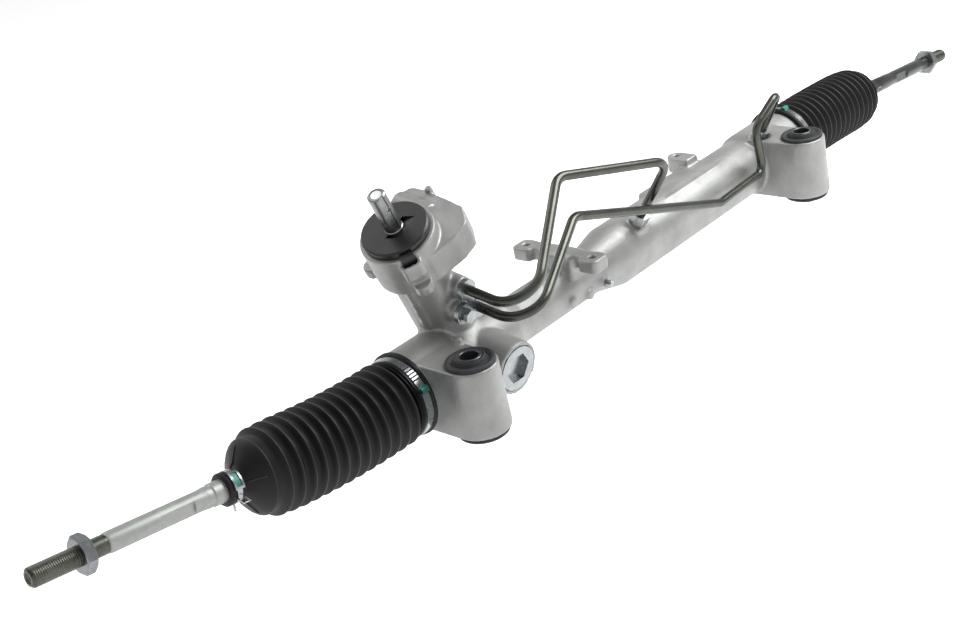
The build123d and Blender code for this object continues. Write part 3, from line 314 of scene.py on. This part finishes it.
def piece(name, bm, finish, smooth=50.0, weld=True):
    """Turns a bmesh into a finished object at the origin, with its normals facing outwards."""
    if weld:
        bmesh.ops.remove_doubles(bm, verts=bm.verts, dist=1e-6)
    bmesh.ops.recalc_face_normals(bm, faces=bm.faces)
    mesh = bpy.data.meshes.new(name)
    bm.to_mesh(mesh)
    bm.free()
    mesh.materials.append(FINISHES[finish])
    for polygon in mesh.polygons:
        polygon.use_smooth = True
    mesh.set_sharp_from_angle(angle=math.radians(smooth))
    made = bpy.data.objects.new(name, mesh)
    bpy.context.scene.collection.objects.link(made)
    return made


def lathe(bm, outline, steps=96, matrix=None):
    """Spins a closed outline of (along, radius) points in metres about the x axis."""
    verts = [bm.verts.new((along, radius, 0.0)) for along, radius in outline]
    edges = [bm.edges.new(pair) for pair in zip(verts, verts[1:] + verts[:1])]
    bmesh.ops.spin(bm, geom=verts + edges, cent=(0, 0, 0), axis=(1, 0, 0), dvec=(0, 0, 0),
                   angle=2 * math.pi, steps=steps, use_merge=True, use_duplicate=False)
    bmesh.ops.remove_doubles(bm, verts=bm.verts, dist=1e-6)
    if matrix is not None:
        bmesh.ops.transform(bm, matrix=matrix, verts=bm.verts)


def along_x(origin, way, across=(0, 1, 0)):
    """A matrix that lays the x axis along way at origin, with y near across."""
    x = Vector(way).normalized()
    z = x.cross(Vector(across)).normalized()
    y = z.cross(x)
    turn = Matrix((x, y, z)).transposed().to_4x4()
    return Matrix.Translation(Vector(origin)) @ turn


def plate(bm, low, high, matrix):
    """A rectangular plate with softened edges between two corners, placed by a matrix."""
    verts = bmesh.ops.create_cube(bm, size=1.0)["verts"]
    for vert in verts:
        vert.co = Vector(high[i] if vert.co[i] > 0 else low[i] for i in range(3))
    bmesh.ops.transform(bm, matrix=matrix, verts=verts)
    edges = list(dict.fromkeys(edge for vert in verts for edge in vert.link_edges))
    size = min(high[i] - low[i] for i in range(3)) * 0.25
    bmesh.ops.bevel(bm, geom=edges, offset=size, segments=2, profile=0.5, affect="EDGES",
                    material=-1)


def side_facts(side):
    """Where a side's housing face, ball and rod lie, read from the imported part."""
    out = -1 if side == "left" else 1
    ball = Vector(JOINTS[side + "_ball_tilt"]["pos_m"])
    way = Vector(JOINTS[side + "_nut_turn"]["axis"])
    low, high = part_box("rack_housing")
    face = low.x if out < 0 else high.x
    return out, ball, way, face


# Sizes that several pieces share, in millimetres

CUFF_END = {"left": 112.0, "right": 84.0}    # from the ball to the end of a boot's cuff
BAND_SEAT = 32.4                             # radius of the rubber under a steel band
CUFF_RADIUS = 11.4                           # outer radius of a cuff
THREAD_START = 204.5                         # from the ball to the first thread ridge


# Settings a user would change

class RackSettings(bpy.types.PropertyGroup):
    """Sizes of the dressed pieces."""
    casting_voxel: FloatProperty(
        name="Casting voxel", description="Grid of the cast skin", default=1.6 * MM,
        unit="LENGTH")
    crest_radius: FloatProperty(
        name="Crest radius", description="Outer radius of the boot's crests",
        default=34.2 * MM, unit="LENGTH")
    lip_radius: FloatProperty(
        name="Lip radius", description="Outer radius of the boot's lip on the housing",
        default=34.9 * MM, unit="LENGTH")
    valley_drop: FloatProperty(
        name="Valley drop", description="Depth of the folds between crests",
        default=5.4 * MM, unit="LENGTH")
    left_crests: IntProperty(
        name="Left crests", description="Folds of the boot at the pinion end", default=13)
    right_crests: IntProperty(
        name="Right crests", description="Folds of the boot at the cylinder end", default=14)
    thread_pitch: FloatProperty(
        name="Thread pitch", description="Pitch of the tie rod threads", default=1.5 * MM,
        unit="LENGTH")


class StudioSettings(bpy.types.PropertyGroup):
    """Floor, background and lamps."""
    floor_colour: FloatVectorProperty(
        name="Floor", description="Colour of the floor", subtype="COLOR", size=3,
        default=linear("#f4f4f4")[:3])
    floor_drop: FloatProperty(
        name="Floor drop", description="Room under the part for the rods' lowest swing",
        default=92.0 * MM, unit="LENGTH")
    key_power: FloatProperty(
        name="Key lamp", description="Power of the key lamp", default=19.0, unit="POWER")
    fill_power: FloatProperty(
        name="Fill lamp", description="Power of the fill lamp", default=10.0, unit="POWER")


# Operators

class RACK_OT_finishes(bpy.types.Operator):
    """Gives every carried-over piece its finish"""
    bl_idname = "rack.finishes"
    bl_label = "Finishes"

    def execute(self, context):
        FINISHES.update(make_finishes())
        for entry in frame["record"]["subparts"]:
            mesh = NODES[entry["node"]].data
            mesh.materials.clear()
            nut = entry["node"].endswith("_jam_nut")
            mesh.materials.append(FINISHES["nut_zinc" if nut else entry["material_slot"]])
        return {"FINISHED"}


class RACK_OT_castings(bpy.types.Operator):
    """Skins the castings with rounded corners and soft fillets"""
    bl_idname = "rack.castings"
    bl_label = "Castings"

    def execute(self, context):
        voxel = context.scene.rack.casting_voxel
        for node, size in (("rack_housing", voxel), ("valve_housing", voxel * 0.6)):
            bm = bmesh.new()
            bm.from_mesh(NODES[node].data)
            bmesh.ops.remove_doubles(bm, verts=bm.verts, dist=1e-6)
            mesh = bpy.data.meshes.new("skin")
            bm.to_mesh(mesh)
            bm.free()
            rough = bpy.data.objects.new("skin", mesh)
            context.scene.collection.objects.link(rough)
            remesh = rough.modifiers.new("skin", "REMESH")
            remesh.mode = "VOXEL"
            remesh.voxel_size = size
            remesh.use_smooth_shade = True
            soften = rough.modifiers.new("soften", "SMOOTH")
            soften.factor = 0.5
            soften.iterations = 5
            context.view_layer.update()
            shaped = bpy.data.meshes.new_from_object(
                rough.evaluated_get(context.evaluated_depsgraph_get()))
            bpy.data.objects.remove(rough)
            bm = bmesh.new()
            bm.from_mesh(shaped)
            made = piece(node + "_casting", bm, "cast_aluminium", 180.0, weld=False)
            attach(made, "housing")
            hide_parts(node)
        return {"FINISHED"}


# One fold around its crest: (share of the step, share of the depth)
FOLD = ((-0.38, 0.08), (-0.27, 0.28), (-0.18, 0.55), (-0.1, 0.84), (-0.05, 0.97), (0.0, 1.0),
        (0.05, 0.97), (0.1, 0.84), (0.18, 0.55), (0.27, 0.28), (0.38, 0.08))


def boot_outline(settings, side, crests, first, dome_at, cuff_start, length, collar_start):
    """Outer (along, radius) points of a boot in metres, lip first, and its valleys and crests."""
    slim = 0.0 if side == "left" else 1.4 * MM
    crest, drop = settings.crest_radius - slim, settings.valley_drop - slim / 2
    lip = settings.lip_radius
    seat = BAND_SEAT * MM
    ring = 28.6 * MM
    step = (dome_at - first) / crests
    points = [(collar_start - 3.0 * MM, lip - 0.8 * MM), (collar_start - 2.4 * MM, lip),
              (collar_start + 0.5 * MM, lip), (collar_start + 1.2 * MM, lip - 0.6 * MM),
              (collar_start + 1.5 * MM, seat), (-1.4 * MM, seat), (0.4 * MM, crest - drop)]
    valleys, tops = [], [(dome_at, ring)]
    for index in range(crests):
        middle = first + index * step
        late = max(0, index - crests + 3)
        top = crest - (0.0, 0.4, 1.2, 2.8)[late] * MM
        low = top - drop
        points += [(middle + share * step, low + rise * drop) for share, rise in FOLD]
        tops.append((middle, top))
        valleys.append(middle + step / 2)
        points.append((middle + step / 2, low))
    points += [(dome_at - 1.4 * MM, 26.4 * MM), (dome_at - 0.5 * MM, 28.3 * MM),
               (dome_at, ring), (dome_at + 0.6 * MM, 28.3 * MM),
               (dome_at + 2.4 * MM, 26.8 * MM), (dome_at + 5.5 * MM, 23.4 * MM),
               (cuff_start - 3.0 * MM, 14.2 * MM), (cuff_start - 0.6 * MM, 11.9 * MM),
               (cuff_start + 0.6 * MM, CUFF_RADIUS * MM), (length - 3.4 * MM, CUFF_RADIUS * MM),
               (length - 3.0 * MM, 12.1 * MM), (length - 0.6 * MM, 12.1 * MM),
               (length, 11.6 * MM)]
    return points, valleys, tops


class RACK_OT_boots(bpy.types.Operator):
    """Moulds both bellows boots along their bent centre lines"""
    bl_idname = "rack.boots"
    bl_label = "Boots"

    def execute(self, context):
        settings = context.scene.rack
        for side, crests in (("left", settings.left_crests), ("right", settings.right_crests)):
            self.mould(settings, side, crests, CUFF_END[side] * MM)
        return {"FINISHED"}

    def mould(self, settings, side, crests, cuff_end):
        out, ball, way, face = side_facts(side)
        straight = abs(ball.x - face)
        lean = math.atan2(abs(way.z), abs(way.x))
        rise = 1 if way.z > 0 else -1
        # The centre line bends in one arc around the ball, reach before and behind it
        reach = straight - 2.0 * MM
        radius = reach / math.tan(lean / 2)
        length = straight + cuff_end - (2 * reach - radius * lean)
        cuff_start = length - 12.0 * MM
        dome_at = cuff_start - (14.0 if side == "left" else 18.0) * MM
        first, collar = 6.0 * MM, -12.0 * MM
        outer, marks, tops = boot_outline(settings, side, crests, first, dome_at, cuff_start,
                                          length, collar)
        lip = 33.7 if side == "left" else 31.2

        def bend(spot):
            """Carries a point from the straight boot to its bent place."""
            into = spot.x - (straight - reach)
            if into <= 0:
                centre, angle = (spot.x, 0.0), 0.0
            elif into < radius * lean:
                angle = into / radius
                centre = (straight - reach + radius * math.sin(angle),
                          radius * (1 - math.cos(angle)))
            else:
                angle = lean
                past = into - radius * lean + reach
                centre = (straight + past * math.cos(lean), past * math.sin(lean))
            up = Vector((-out * math.sin(angle) * rise, 0, math.cos(angle)))
            middle = Vector((face + out * centre[0], ball.y, rise * centre[1]))
            return middle + Vector((0, spot.y, 0)) + up * (spot.z)

        def inner(along):
            """Inner radius of the boot."""
            table = [(collar - 3.0 * MM, lip), (collar, lip), (collar + 0.1 * MM, 29.82),
                     (-3.3 * MM, 29.82), (-3.0 * MM, 30.82), (0.3 * MM, 30.82),
                     (1.5 * MM, 27.0), (dome_at - 20.0 * MM, 26.2), (dome_at, 25.4),
                     (cuff_start - 3.0 * MM, 11.6), (cuff_start, 8.7), (length, 8.7)]
            for (a, p), (b, q) in zip(table, table[1:]):
                if a <= along <= b:
                    return (p + (q - p) * (along - a) / (b - a)) * MM
            return table[-1][1] * MM

        # The boot is cut into three parts: the first ends at the valley nearest 112 mm along, the second one fold
        # later, the third runs to the cuff's end
        slide_room = 112.0 * MM
        first_cut = min(marks, key=lambda mark: abs(mark - slide_room))
        step = marks[1] - marks[0]
        second_cut = first_cut + step
        cuts = [collar - 3.0 * MM, first_cut, second_cut, length]
        for number, (low, high) in enumerate(zip(cuts, cuts[1:])):
            run = [p for p in outer if low - 1e-7 <= p[0] <= high + 1e-7]
            if run[0][0] > low + 1e-6:
                run.insert(0, (low, self.at(outer, low)))
            if run[-1][0] < high - 1e-6:
                run.append((high, self.at(outer, high)))
            back = [(along, inner(along)) for along in
                    [high] + [t for t in (cuff_start, cuff_start - 3.0 * MM, dome_at,
                                          dome_at - 20.0 * MM, 1.5 * MM, 0.3 * MM,
                                          -3.0 * MM, -3.3 * MM, collar + 0.1 * MM, collar)
                                 if low + 1e-6 < t < high - 1e-6]
                    + [low]]
            bm = bmesh.new()
            lathe(bm, run + back, 120)
            # Mask of the painted highlight: vertices on the outer edge of each crest get full weight.
            crest_highlight = bm.verts.layers.float.new("crest_highlight")
            for vert in bm.verts:
                radius_here = math.hypot(vert.co.y, vert.co.z)
                near = min(tops, key=lambda top: abs(top[0] - vert.co.x))
                at_crest = abs(near[0] - vert.co.x) < 0.2 * MM
                if at_crest and radius_here > near[1] - 0.5 * MM:
                    vert[crest_highlight] = 1.0
            if number == 2:
                self.ribs(bm, crest_highlight, dome_at, cuff_start)
            for vert in bm.verts:
                vert.co = bend(vert.co)
            made = piece(f"{side}_boot_rubber_{number + 1}", bm, "black_rubber", 60.0)
            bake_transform(made)
            if number == 0:
                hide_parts(side + "_boot")

    @staticmethod
    def at(points, along):
        """Radius of an outline at a place along it."""
        for (a, p), (b, q) in zip(points, points[1:]):
            if a <= along <= b:
                return p + (q - p) * (along - a) / max(b - a, 1e-9)
        return points[-1][1]

    @staticmethod
    def ribs(bm, crest_highlight, dome_at, cuff_start):
        """Four thin ribs on the cone between the last ring and the cuff."""
        rows = [(dome_at + 3.0 * MM, 25.8 * MM), (dome_at + 5.5 * MM, 24.5 * MM),
                (cuff_start - 3.0 * MM, 15.6 * MM), (cuff_start + 0.2 * MM, 12.2 * MM),
                (cuff_start + 0.2 * MM, 10.0 * MM), (dome_at + 3.0 * MM, 22.0 * MM)]
        for quarter in range(4):
            verts = [bm.verts.new((x, r, -0.45 * MM)) for x, r in rows]
            # Painted highlight along each rib's outer edge, a little weaker than on the crests.
            for vert in verts[:4]:
                vert[crest_highlight] = 0.8
            face = bm.faces.new(verts)
            grown = bmesh.ops.extrude_face_region(bm, geom=[face])["geom"]
            other = [item for item in grown if isinstance(item, bmesh.types.BMVert)]
            bmesh.ops.translate(bm, vec=(0, 0, 0.9 * MM), verts=other)
            bmesh.ops.rotate(bm, cent=(0, 0, 0), verts=verts + other,
                             matrix=Matrix.Rotation(math.radians(70 + 90 * quarter), 3, "X"))


class RACK_OT_bands(bpy.types.Operator):
    """Bends the slotted steel bands around the boots' collars"""
    bl_idname = "rack.bands"
    bl_label = "Bands"

    def execute(self, context):
        for side, ear_at in (("left", 155.0), ("right", 100.0)):
            _, ball, _, _ = side_facts(side)
            low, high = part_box(side + "_boot_band")
            middle = (low.x + high.x) / 2
            inner, wall, half = 32.42 * MM, 0.8 * MM, 3.5 * MM
            ear_half, ear_tall, steps = 3.0 * MM, 3.2 * MM, 10
            bm = bmesh.new()
            edge = 0.2 * MM
            lathe(bm, [(-half, inner), (-half + edge, inner + wall), (half - edge, inner + wall),
                       (half, inner)], 144)
            self.slots(bm, inner + wall, math.radians(ear_at))
            matrix = Matrix.Translation((middle, ball.y, 0))
            bmesh.ops.transform(bm, matrix=matrix, verts=bm.verts)
            made = piece(side + "_clamp_band", bm, "zinc_plate", 35.0)
            made.data.materials.append(FINISHES["black_rubber"])
            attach(made, "housing")
            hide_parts(side + "_boot_band")
            bm = bmesh.new()
            angles = [math.pi * k / steps for k in range(steps + 1)]
            verts = [bm.verts.new((-half, inner + wall + math.sin(a) * ear_tall,
                                   math.cos(a) * ear_half)) for a in angles]
            edges = [bm.edges.new(pair) for pair in zip(verts, verts[1:])]
            grown = bmesh.ops.extrude_edge_only(bm, edges=edges)
            moved = [g for g in grown["geom"] if isinstance(g, bmesh.types.BMVert)]
            bmesh.ops.translate(bm, vec=(2 * half, 0, 0), verts=moved)
            bmesh.ops.solidify(bm, geom=bm.faces[:], thickness=0.8 * MM)
            bmesh.ops.rotate(bm, cent=(0, 0, 0), verts=bm.verts,
                             matrix=Matrix.Rotation(math.radians(ear_at), 3, "X"))
            bmesh.ops.transform(bm, matrix=matrix, verts=bm.verts)
            ear = piece(side + "_clamp_ear", bm, "marking_paint", 40.0)
            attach(ear, "housing")
        return {"FINISHED"}

    @staticmethod
    def slots(bm, radius, ear):
        """Cuts a row of slots into the band beside its ear, with the rubber showing through."""
        # Degrees from the ear to the first and past the last slot, and of one face
        near, far, pitch = 12, 40, 2.5
        chosen = []
        for face in bm.faces:
            centre = face.calc_center_median()
            reach = math.hypot(centre.y, centre.z)
            place = math.degrees((ear - math.atan2(centre.z, centre.y)) % (2 * math.pi))
            if reach > radius - 0.2 * MM and abs(face.normal.x) < 0.3:
                if near < place < far and int((place - near) / pitch) % 2 == 1:
                    chosen.append(face)
        bmesh.ops.inset_individual(bm, faces=chosen, thickness=0.4 * MM, depth=0.0)
        for face in chosen:
            face.material_index = 1
            for vert in face.verts:
                vert.co -= Vector((0, vert.co.y, vert.co.z)).normalized() * 0.5 * MM


class RACK_OT_clips(bpy.types.Operator):
    """Closes the spring clips on the boots' cuffs"""
    bl_idname = "rack.clips"
    bl_label = "Clips"

    def execute(self, context):
        inner, wall, half, edge = 11.42 * MM, 0.9 * MM, 2.1 * MM, 0.2 * MM
        window_at, loop_at, tail_at = 222.0, 162, 99
        for side in ("left", "right"):
            _, ball, way, _ = side_facts(side)
            matrix = along_x(ball + way * (CUFF_END[side] * MM - 7.0 * MM), way)
            bm = bmesh.new()
            lathe(bm, [(-half, inner), (-half, inner + wall - edge), (edge - half, inner + wall),
                       (half - edge, inner + wall), (half, inner + wall - edge),
                       (half, inner)], 72)
            self.window(bm, inner + wall * 0.6, window_at)
            self.loop(bm, Matrix.Rotation(math.radians(loop_at), 4, "X"), inner + wall * 0.5)
            plate(bm, (-0.8 * MM, inner + wall * 0.5, -0.5 * MM),
                  (0.8 * MM, inner + 6.6 * MM, 0.5 * MM),
                  Matrix.Rotation(math.radians(tail_at), 4, "X"))
            bmesh.ops.transform(bm, matrix=matrix, verts=bm.verts)
            made = piece(side + "_cuff_clip", bm, "zinc_plate", 40.0, weld=False)
            made.data.materials.append(FINISHES["marking_paint"])
            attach(made, side + "_rod")
            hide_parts(side + "_boot_clip")
        return {"FINISHED"}

    @staticmethod
    def window(bm, radius, middle):
        """Raised eye on the clip, with its painted sunk window."""
        rows = [(-3.9, 0.0), (-3.9, 1.4), (-2.3, 1.6), (2.3, 1.6), (3.9, 1.4), (3.9, 0.0)]
        verts = [bm.verts.new((x * MM, radius + r * MM, 0)) for x, r in rows]
        edges = [bm.edges.new(pair) for pair in zip(verts, verts[1:] + verts[:1])]
        face = bm.faces.new(verts)
        spread, steps = 64.0, 16
        start_at = Matrix.Rotation(math.radians(middle - spread / 2), 3, "X")
        bmesh.ops.rotate(bm, cent=(0, 0, 0), verts=verts, matrix=start_at)
        before = set(bm.faces) - {face}
        bmesh.ops.spin(bm, geom=verts + edges + [face], cent=(0, 0, 0), axis=(1, 0, 0),
                       dvec=(0, 0, 0), angle=math.radians(spread), steps=steps,
                       use_merge=False, use_duplicate=False)
        chosen = []
        for face in bm.faces:
            if face in before:
                continue
            centre = face.calc_center_median()
            place = abs((math.degrees(math.atan2(centre.z, centre.y)) - middle + 180) % 360 - 180)
            if abs(centre.x) < 1.0 * MM and place < 23 and \
                    math.hypot(centre.y, centre.z) > radius + 1.4 * MM:
                chosen.append(face)
        bmesh.ops.inset_region(bm, faces=chosen, thickness=0.15 * MM, depth=0.0)
        for vert in dict.fromkeys(vert for face in chosen for vert in face.verts):
            vert.co -= Vector((0, vert.co.y, vert.co.z)).normalized() * 0.8 * MM
        for face in chosen:
            face.material_index = 1

    @staticmethod
    def loop(bm, turn, radius):
        """The clip's pinching lug, a small frame that stands up from the strap."""
        width, tall, bar = 3.2 * MM, 7.6 * MM, 0.9 * MM
        thick = 0.45 * MM
        for low, high in (((-width, radius, -thick), (bar - width, radius + tall, thick)),
                          ((width - bar, radius, -thick), (width, radius + tall, thick)),
                          ((bar - width, radius + tall - bar, -thick),
                           (width - bar, radius + tall, thick))):
            plate(bm, low, high, turn)


class RACK_OT_tie_rods(bpy.types.Operator):
    """Forges both tie rods and cuts their threads"""
    bl_idname = "rack.tie_rods"
    bl_label = "Tie rods"

    def execute(self, context):
        pitch = context.scene.rack.thread_pitch
        flat_low, flat_high, flat_half = 138.4 * MM, 163.6 * MM, 5.7 * MM
        for side, finish in (("left", "forged_steel"), ("right", "dark_steel")):
            _, ball, way, _ = side_facts(side)
            matrix = along_x(ball, way)
            bm = bmesh.new()
            lathe(bm, [(x * MM, r * MM) for x, r in self.shank(CUFF_END[side])], 64)
            for vert in bm.verts:
                if flat_low < vert.co.x < flat_high and abs(vert.co.y) > flat_half:
                    vert.co.y = math.copysign(flat_half, vert.co.y)
            for face in bm.faces:
                face.material_index = int(face.calc_center_median().x > 204.0 * MM)
            bmesh.ops.transform(bm, matrix=matrix, verts=bm.verts)
            made = piece(side + "_rod_shank", bm, finish, 24.0)
            made.data.materials.append(FINISHES["thread_steel"])
            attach(made, side + "_rod")
            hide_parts(side + "_tie_rod")
            bm = bmesh.new()
            # Thinner crests below the jam nut, so the nut's bore stays clear
            first, below = THREAD_START * MM, 13
            self.cut_thread(bm, first, pitch, below, 6.74)
            self.cut_thread(bm, first + below * pitch, pitch,
                            int((256.6 * MM - first) / pitch) - below, 7.0)
            bmesh.ops.transform(bm, matrix=matrix, verts=bm.verts)
            thread = piece(side + "_rod_thread", bm, "thread_steel", 50.0)
            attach(thread, side + "_rod")
        return {"FINISHED"}

    @staticmethod
    def cut_thread(bm, first, pitch, turns, crest):
        """Winds a thread of some turns with its crests at a radius in millimetres."""
        tooth = [(0.0, crest - 0.3), (0.14, crest - 0.3), (0.4, crest), (0.6, crest),
                 (0.86, crest - 0.3), (1.0, crest - 0.3)]
        verts = [bm.verts.new((first + share * pitch, r * MM, 0)) for share, r in tooth]
        edges = [bm.edges.new(pair) for pair in zip(verts, verts[1:])]
        bmesh.ops.spin(bm, geom=verts + edges, cent=(0, 0, 0), axis=(1, 0, 0),
                       dvec=(pitch / 40, 0, 0), angle=2 * math.pi * turns,
                       steps=40 * turns, use_merge=False, use_duplicate=False)

    @staticmethod
    def shank(cuff_end):
        """Outline of a rod in millimetres, from the ball to the thread's core."""
        ball = [(-11.0 * math.cos(math.radians(a)), 11.0 * math.sin(math.radians(a)))
                for a in range(0, 151, 10)]
        ball[0] = (-11.0, 0.0)
        return ball + [(17.0, 5.5), (24.0, 7.3), (cuff_end - 14.0, 7.3), (cuff_end - 12.0, 8.4),
                       (cuff_end + 9.0, 8.4), (cuff_end + 10.2, 7.7), (cuff_end + 11.5, 7.6),
                       (cuff_end + 13.0, 7.9), (126.5, 7.7), (131.0, 7.3), (138.0, 7.3),
                       (138.6, 7.3), (151.0, 7.3), (163.4, 7.3), (164.0, 7.3), (201.0, 7.3),
                       (203.0, 7.0), (203.6, 6.6), (256.0, 6.6), (256.4, 6.6), (258.0, 5.2),
                       (258.0, 3.9), (257.2, 3.4), (256.8, 1.6), (255.6, 0.0)]


class RACK_OT_bushes(bpy.types.Operator):
    """Moulds the rubber of both mounting bushes, with the raised ring around the sleeve"""
    bl_idname = "rack.bushes"
    bl_label = "Bushes"

    def execute(self, context):
        rows = [(-30.2, 9.62), (-30.2, 19.5), (-29.6, 20.1), (-27.7, 20.1), (-27.1, 19.6),
                (-27.0, 16.46), (29.1, 16.46), (29.1, 18.9), (29.5, 19.4), (31.0, 19.4),
                (31.8, 18.8), (32.1, 17.6), (31.6, 15.6), (30.6, 14.3), (30.8, 13.2),
                (32.0, 12.5), (33.8, 12.1), (34.4, 11.6), (34.5, 10.8), (34.1, 10.0), (33.6, 9.62)]
        for side in ("left", "right"):
            low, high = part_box(side + "_mount_sleeve")
            centre = (Vector(low) + Vector(high)) / 2
            bm = bmesh.new()
            upright = Matrix.Translation(centre) @ Matrix.Rotation(math.radians(-90), 4, "Y")
            lathe(bm, [(z * MM, r * MM) for z, r in rows], 96, upright)
            made = piece(side + "_bush_rubber", bm, "bush_rubber", 40.0)
            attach(made, "housing")
            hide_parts(side + "_mount_bush")
        return {"FINISHED"}


class RACK_OT_stage(bpy.types.Operator):
    """Sets the floor, the lamps, the world and the camera"""
    bl_idname = "rack.stage"
    bl_label = "Studio"

    def execute(self, context):
        studio = context.scene.rack_studio
        low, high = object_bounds()
        middle = (Vector(low) + Vector(high)) / 2
        bm = bmesh.new()
        floor_half = 9.0
        bmesh.ops.create_grid(bm, x_segments=1, y_segments=1, size=floor_half)
        level = low[2] - studio.floor_drop
        bmesh.ops.translate(bm, vec=(middle.x, middle.y, level), verts=bm.verts)
        mesh = bpy.data.meshes.new("floor")
        bm.to_mesh(mesh)
        bm.free()
        floor = bpy.data.objects.new("floor", mesh)
        context.scene.collection.objects.link(floor)
        mesh.materials.append(self.paper(list(studio.floor_colour) + [1.0]))
        floor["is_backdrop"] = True
        self.world(context)
        self.lamp(context, "key", middle + Vector((0.6, -0.4, 0.85)),
                  middle + Vector((0.2, 0, 0)), 0.8, studio.key_power)
        self.lamp(context, "fill", middle + Vector((-0.9, -1.2, 1.0)), middle, 1.4,
                  studio.fill_power * 0.25)
        self.lamp(context, "back", middle + Vector((-0.4, 1.3, 1.2)), middle, 1.2,
                  studio.fill_power)
        self.camera(context)
        context.scene.view_settings.view_transform = "Standard"
        return {"FINISHED"}

    @staticmethod
    def paper(colour):
        """White paper floor: seen by the camera it glows a little, and keeps a soft shadow."""
        material = bpy.data.materials.new("white_paper")
        material.use_nodes = True
        tree = material.node_tree
        shader = tree.nodes["Principled BSDF"]
        shader.inputs["Roughness"].default_value = 0.9
        shader.inputs["Base Color"].default_value = colour
        shader.inputs["Emission Color"].default_value = colour
        path = add(tree, "ShaderNodeLightPath")
        seen = add(tree, "ShaderNodeMath", {0: path.outputs["Is Camera Ray"],
                                            1: path.outputs["Is Glossy Ray"]}, operation="MAXIMUM")
        glow = add(tree, "ShaderNodeMath", {0: seen.outputs[0], 1: 0.72}, operation="MULTIPLY")
        tree.links.new(glow.outputs[0], shader.inputs["Emission Strength"])
        return material

    @staticmethod
    def world(context):
        """White surroundings, with a dim band of ceiling that polished metal picks up."""
        world = bpy.data.worlds.new("studio")
        context.scene.world = world
        world.use_nodes = True
        tree = world.node_tree
        tree.nodes.clear()
        path = add(tree, "ShaderNodeLightPath")
        aim = add(tree, "ShaderNodeTexCoord").outputs["Generated"]
        height = add(tree, "ShaderNodeSeparateXYZ", {"Vector": aim}).outputs["Z"]
        ceiling = ramp(tree, height, [(0.0, 0.9), (0.38, 0.8), (0.5, 0.15), (0.72, 0.12),
                                      (0.82, 0.6), (1.0, 0.7)])
        plain = add(tree, "ShaderNodeBackground", {"Color": linear("#ffffff"), "Strength": 0.3})
        white = add(tree, "ShaderNodeBackground", {"Color": linear("#ffffff"), "Strength": 1.0})
        shown = add(tree, "ShaderNodeBackground", {"Color": ceiling, "Strength": 1.0})
        mirrored = add(tree, "ShaderNodeMixShader", {0: path.outputs["Is Glossy Ray"],
                                                     1: plain.outputs[0], 2: shown.outputs[0]})
        seen = add(tree, "ShaderNodeMath", {0: path.outputs["Is Camera Ray"],
                                            1: path.outputs["Is Transmission Ray"]},
                   operation="MAXIMUM")
        mixed = add(tree, "ShaderNodeMixShader", {0: seen.outputs[0], 1: mirrored.outputs[0],
                                                  2: white.outputs[0]})
        add(tree, "ShaderNodeOutputWorld", {"Surface": mixed.outputs[0]})

    @staticmethod
    def lamp(context, name, place, target, size, power):
        data = bpy.data.lights.new(name, "AREA")
        data.size = size
        data.energy = power
        made = bpy.data.objects.new(name, data)
        made.location = place
        made.rotation_euler = (Vector(target) - Vector(place)).to_track_quat("-Z", "Y").to_euler()
        context.scene.collection.objects.link(made)

    @staticmethod
    def camera(context):
        data = bpy.data.cameras.new("camera")
        data.sensor_fit = "HORIZONTAL"
        data.sensor_width = 36.0
        data.lens = 51.95
        data.clip_start = 0.01
        data.clip_end = 50.0
        made = bpy.data.objects.new("camera", data)
        turn, lift, roll = math.radians(-42.9), math.radians(25.62), math.radians(11.43)
        ahead = Vector((math.cos(lift) * math.sin(-turn), math.cos(lift) * math.cos(turn),
                        -math.sin(lift)))
        right = ahead.cross(Vector((0, 0, 1))).normalized()
        down = ahead.cross(right)
        right, down = (right * math.cos(roll) + down * math.sin(roll),
                       down * math.cos(roll) - right * math.sin(roll))
        turn_matrix = Matrix((right, -down, -ahead)).transposed().to_4x4()
        made.matrix_world = Matrix.Translation((-0.6081, -0.6737, 0.4963)) @ turn_matrix
        context.scene.collection.objects.link(made)
        context.scene.camera = made


class RACK_PT_panel(bpy.types.Panel):
    """Steering rack dressing"""
    bl_label = "Steering rack"
    bl_idname = "RACK_PT_panel"
    bl_space_type = "VIEW_3D"
    bl_region_type = "UI"
    bl_category = "Rack"

    def draw(self, context):
        for operator in OPERATORS:
            self.layout.operator(operator.bl_idname)
        for group in (context.scene.rack, context.scene.rack_studio):
            for name in group.__annotations__:
                self.layout.prop(group, name)


OPERATORS = (RACK_OT_finishes, RACK_OT_castings, RACK_OT_boots, RACK_OT_bands, RACK_OT_clips,
             RACK_OT_tie_rods, RACK_OT_bushes, RACK_OT_stage)
CLASSES = (RackSettings, StudioSettings, *OPERATORS, RACK_PT_panel)


def register():
    for cls in CLASSES:
        bpy.utils.register_class(cls)
    bpy.types.Scene.rack = PointerProperty(type=RackSettings)
    bpy.types.Scene.rack_studio = PointerProperty(type=StudioSettings)


def unregister():
    del bpy.types.Scene.rack_studio
    del bpy.types.Scene.rack
    for cls in reversed(CLASSES):
        bpy.utils.unregister_class(cls)


def main():
    register()
    for operator in OPERATORS:
        group, name = operator.bl_idname.split(".")
        getattr(getattr(bpy.ops, group), name)()


if __name__ == "__main__":
    main()
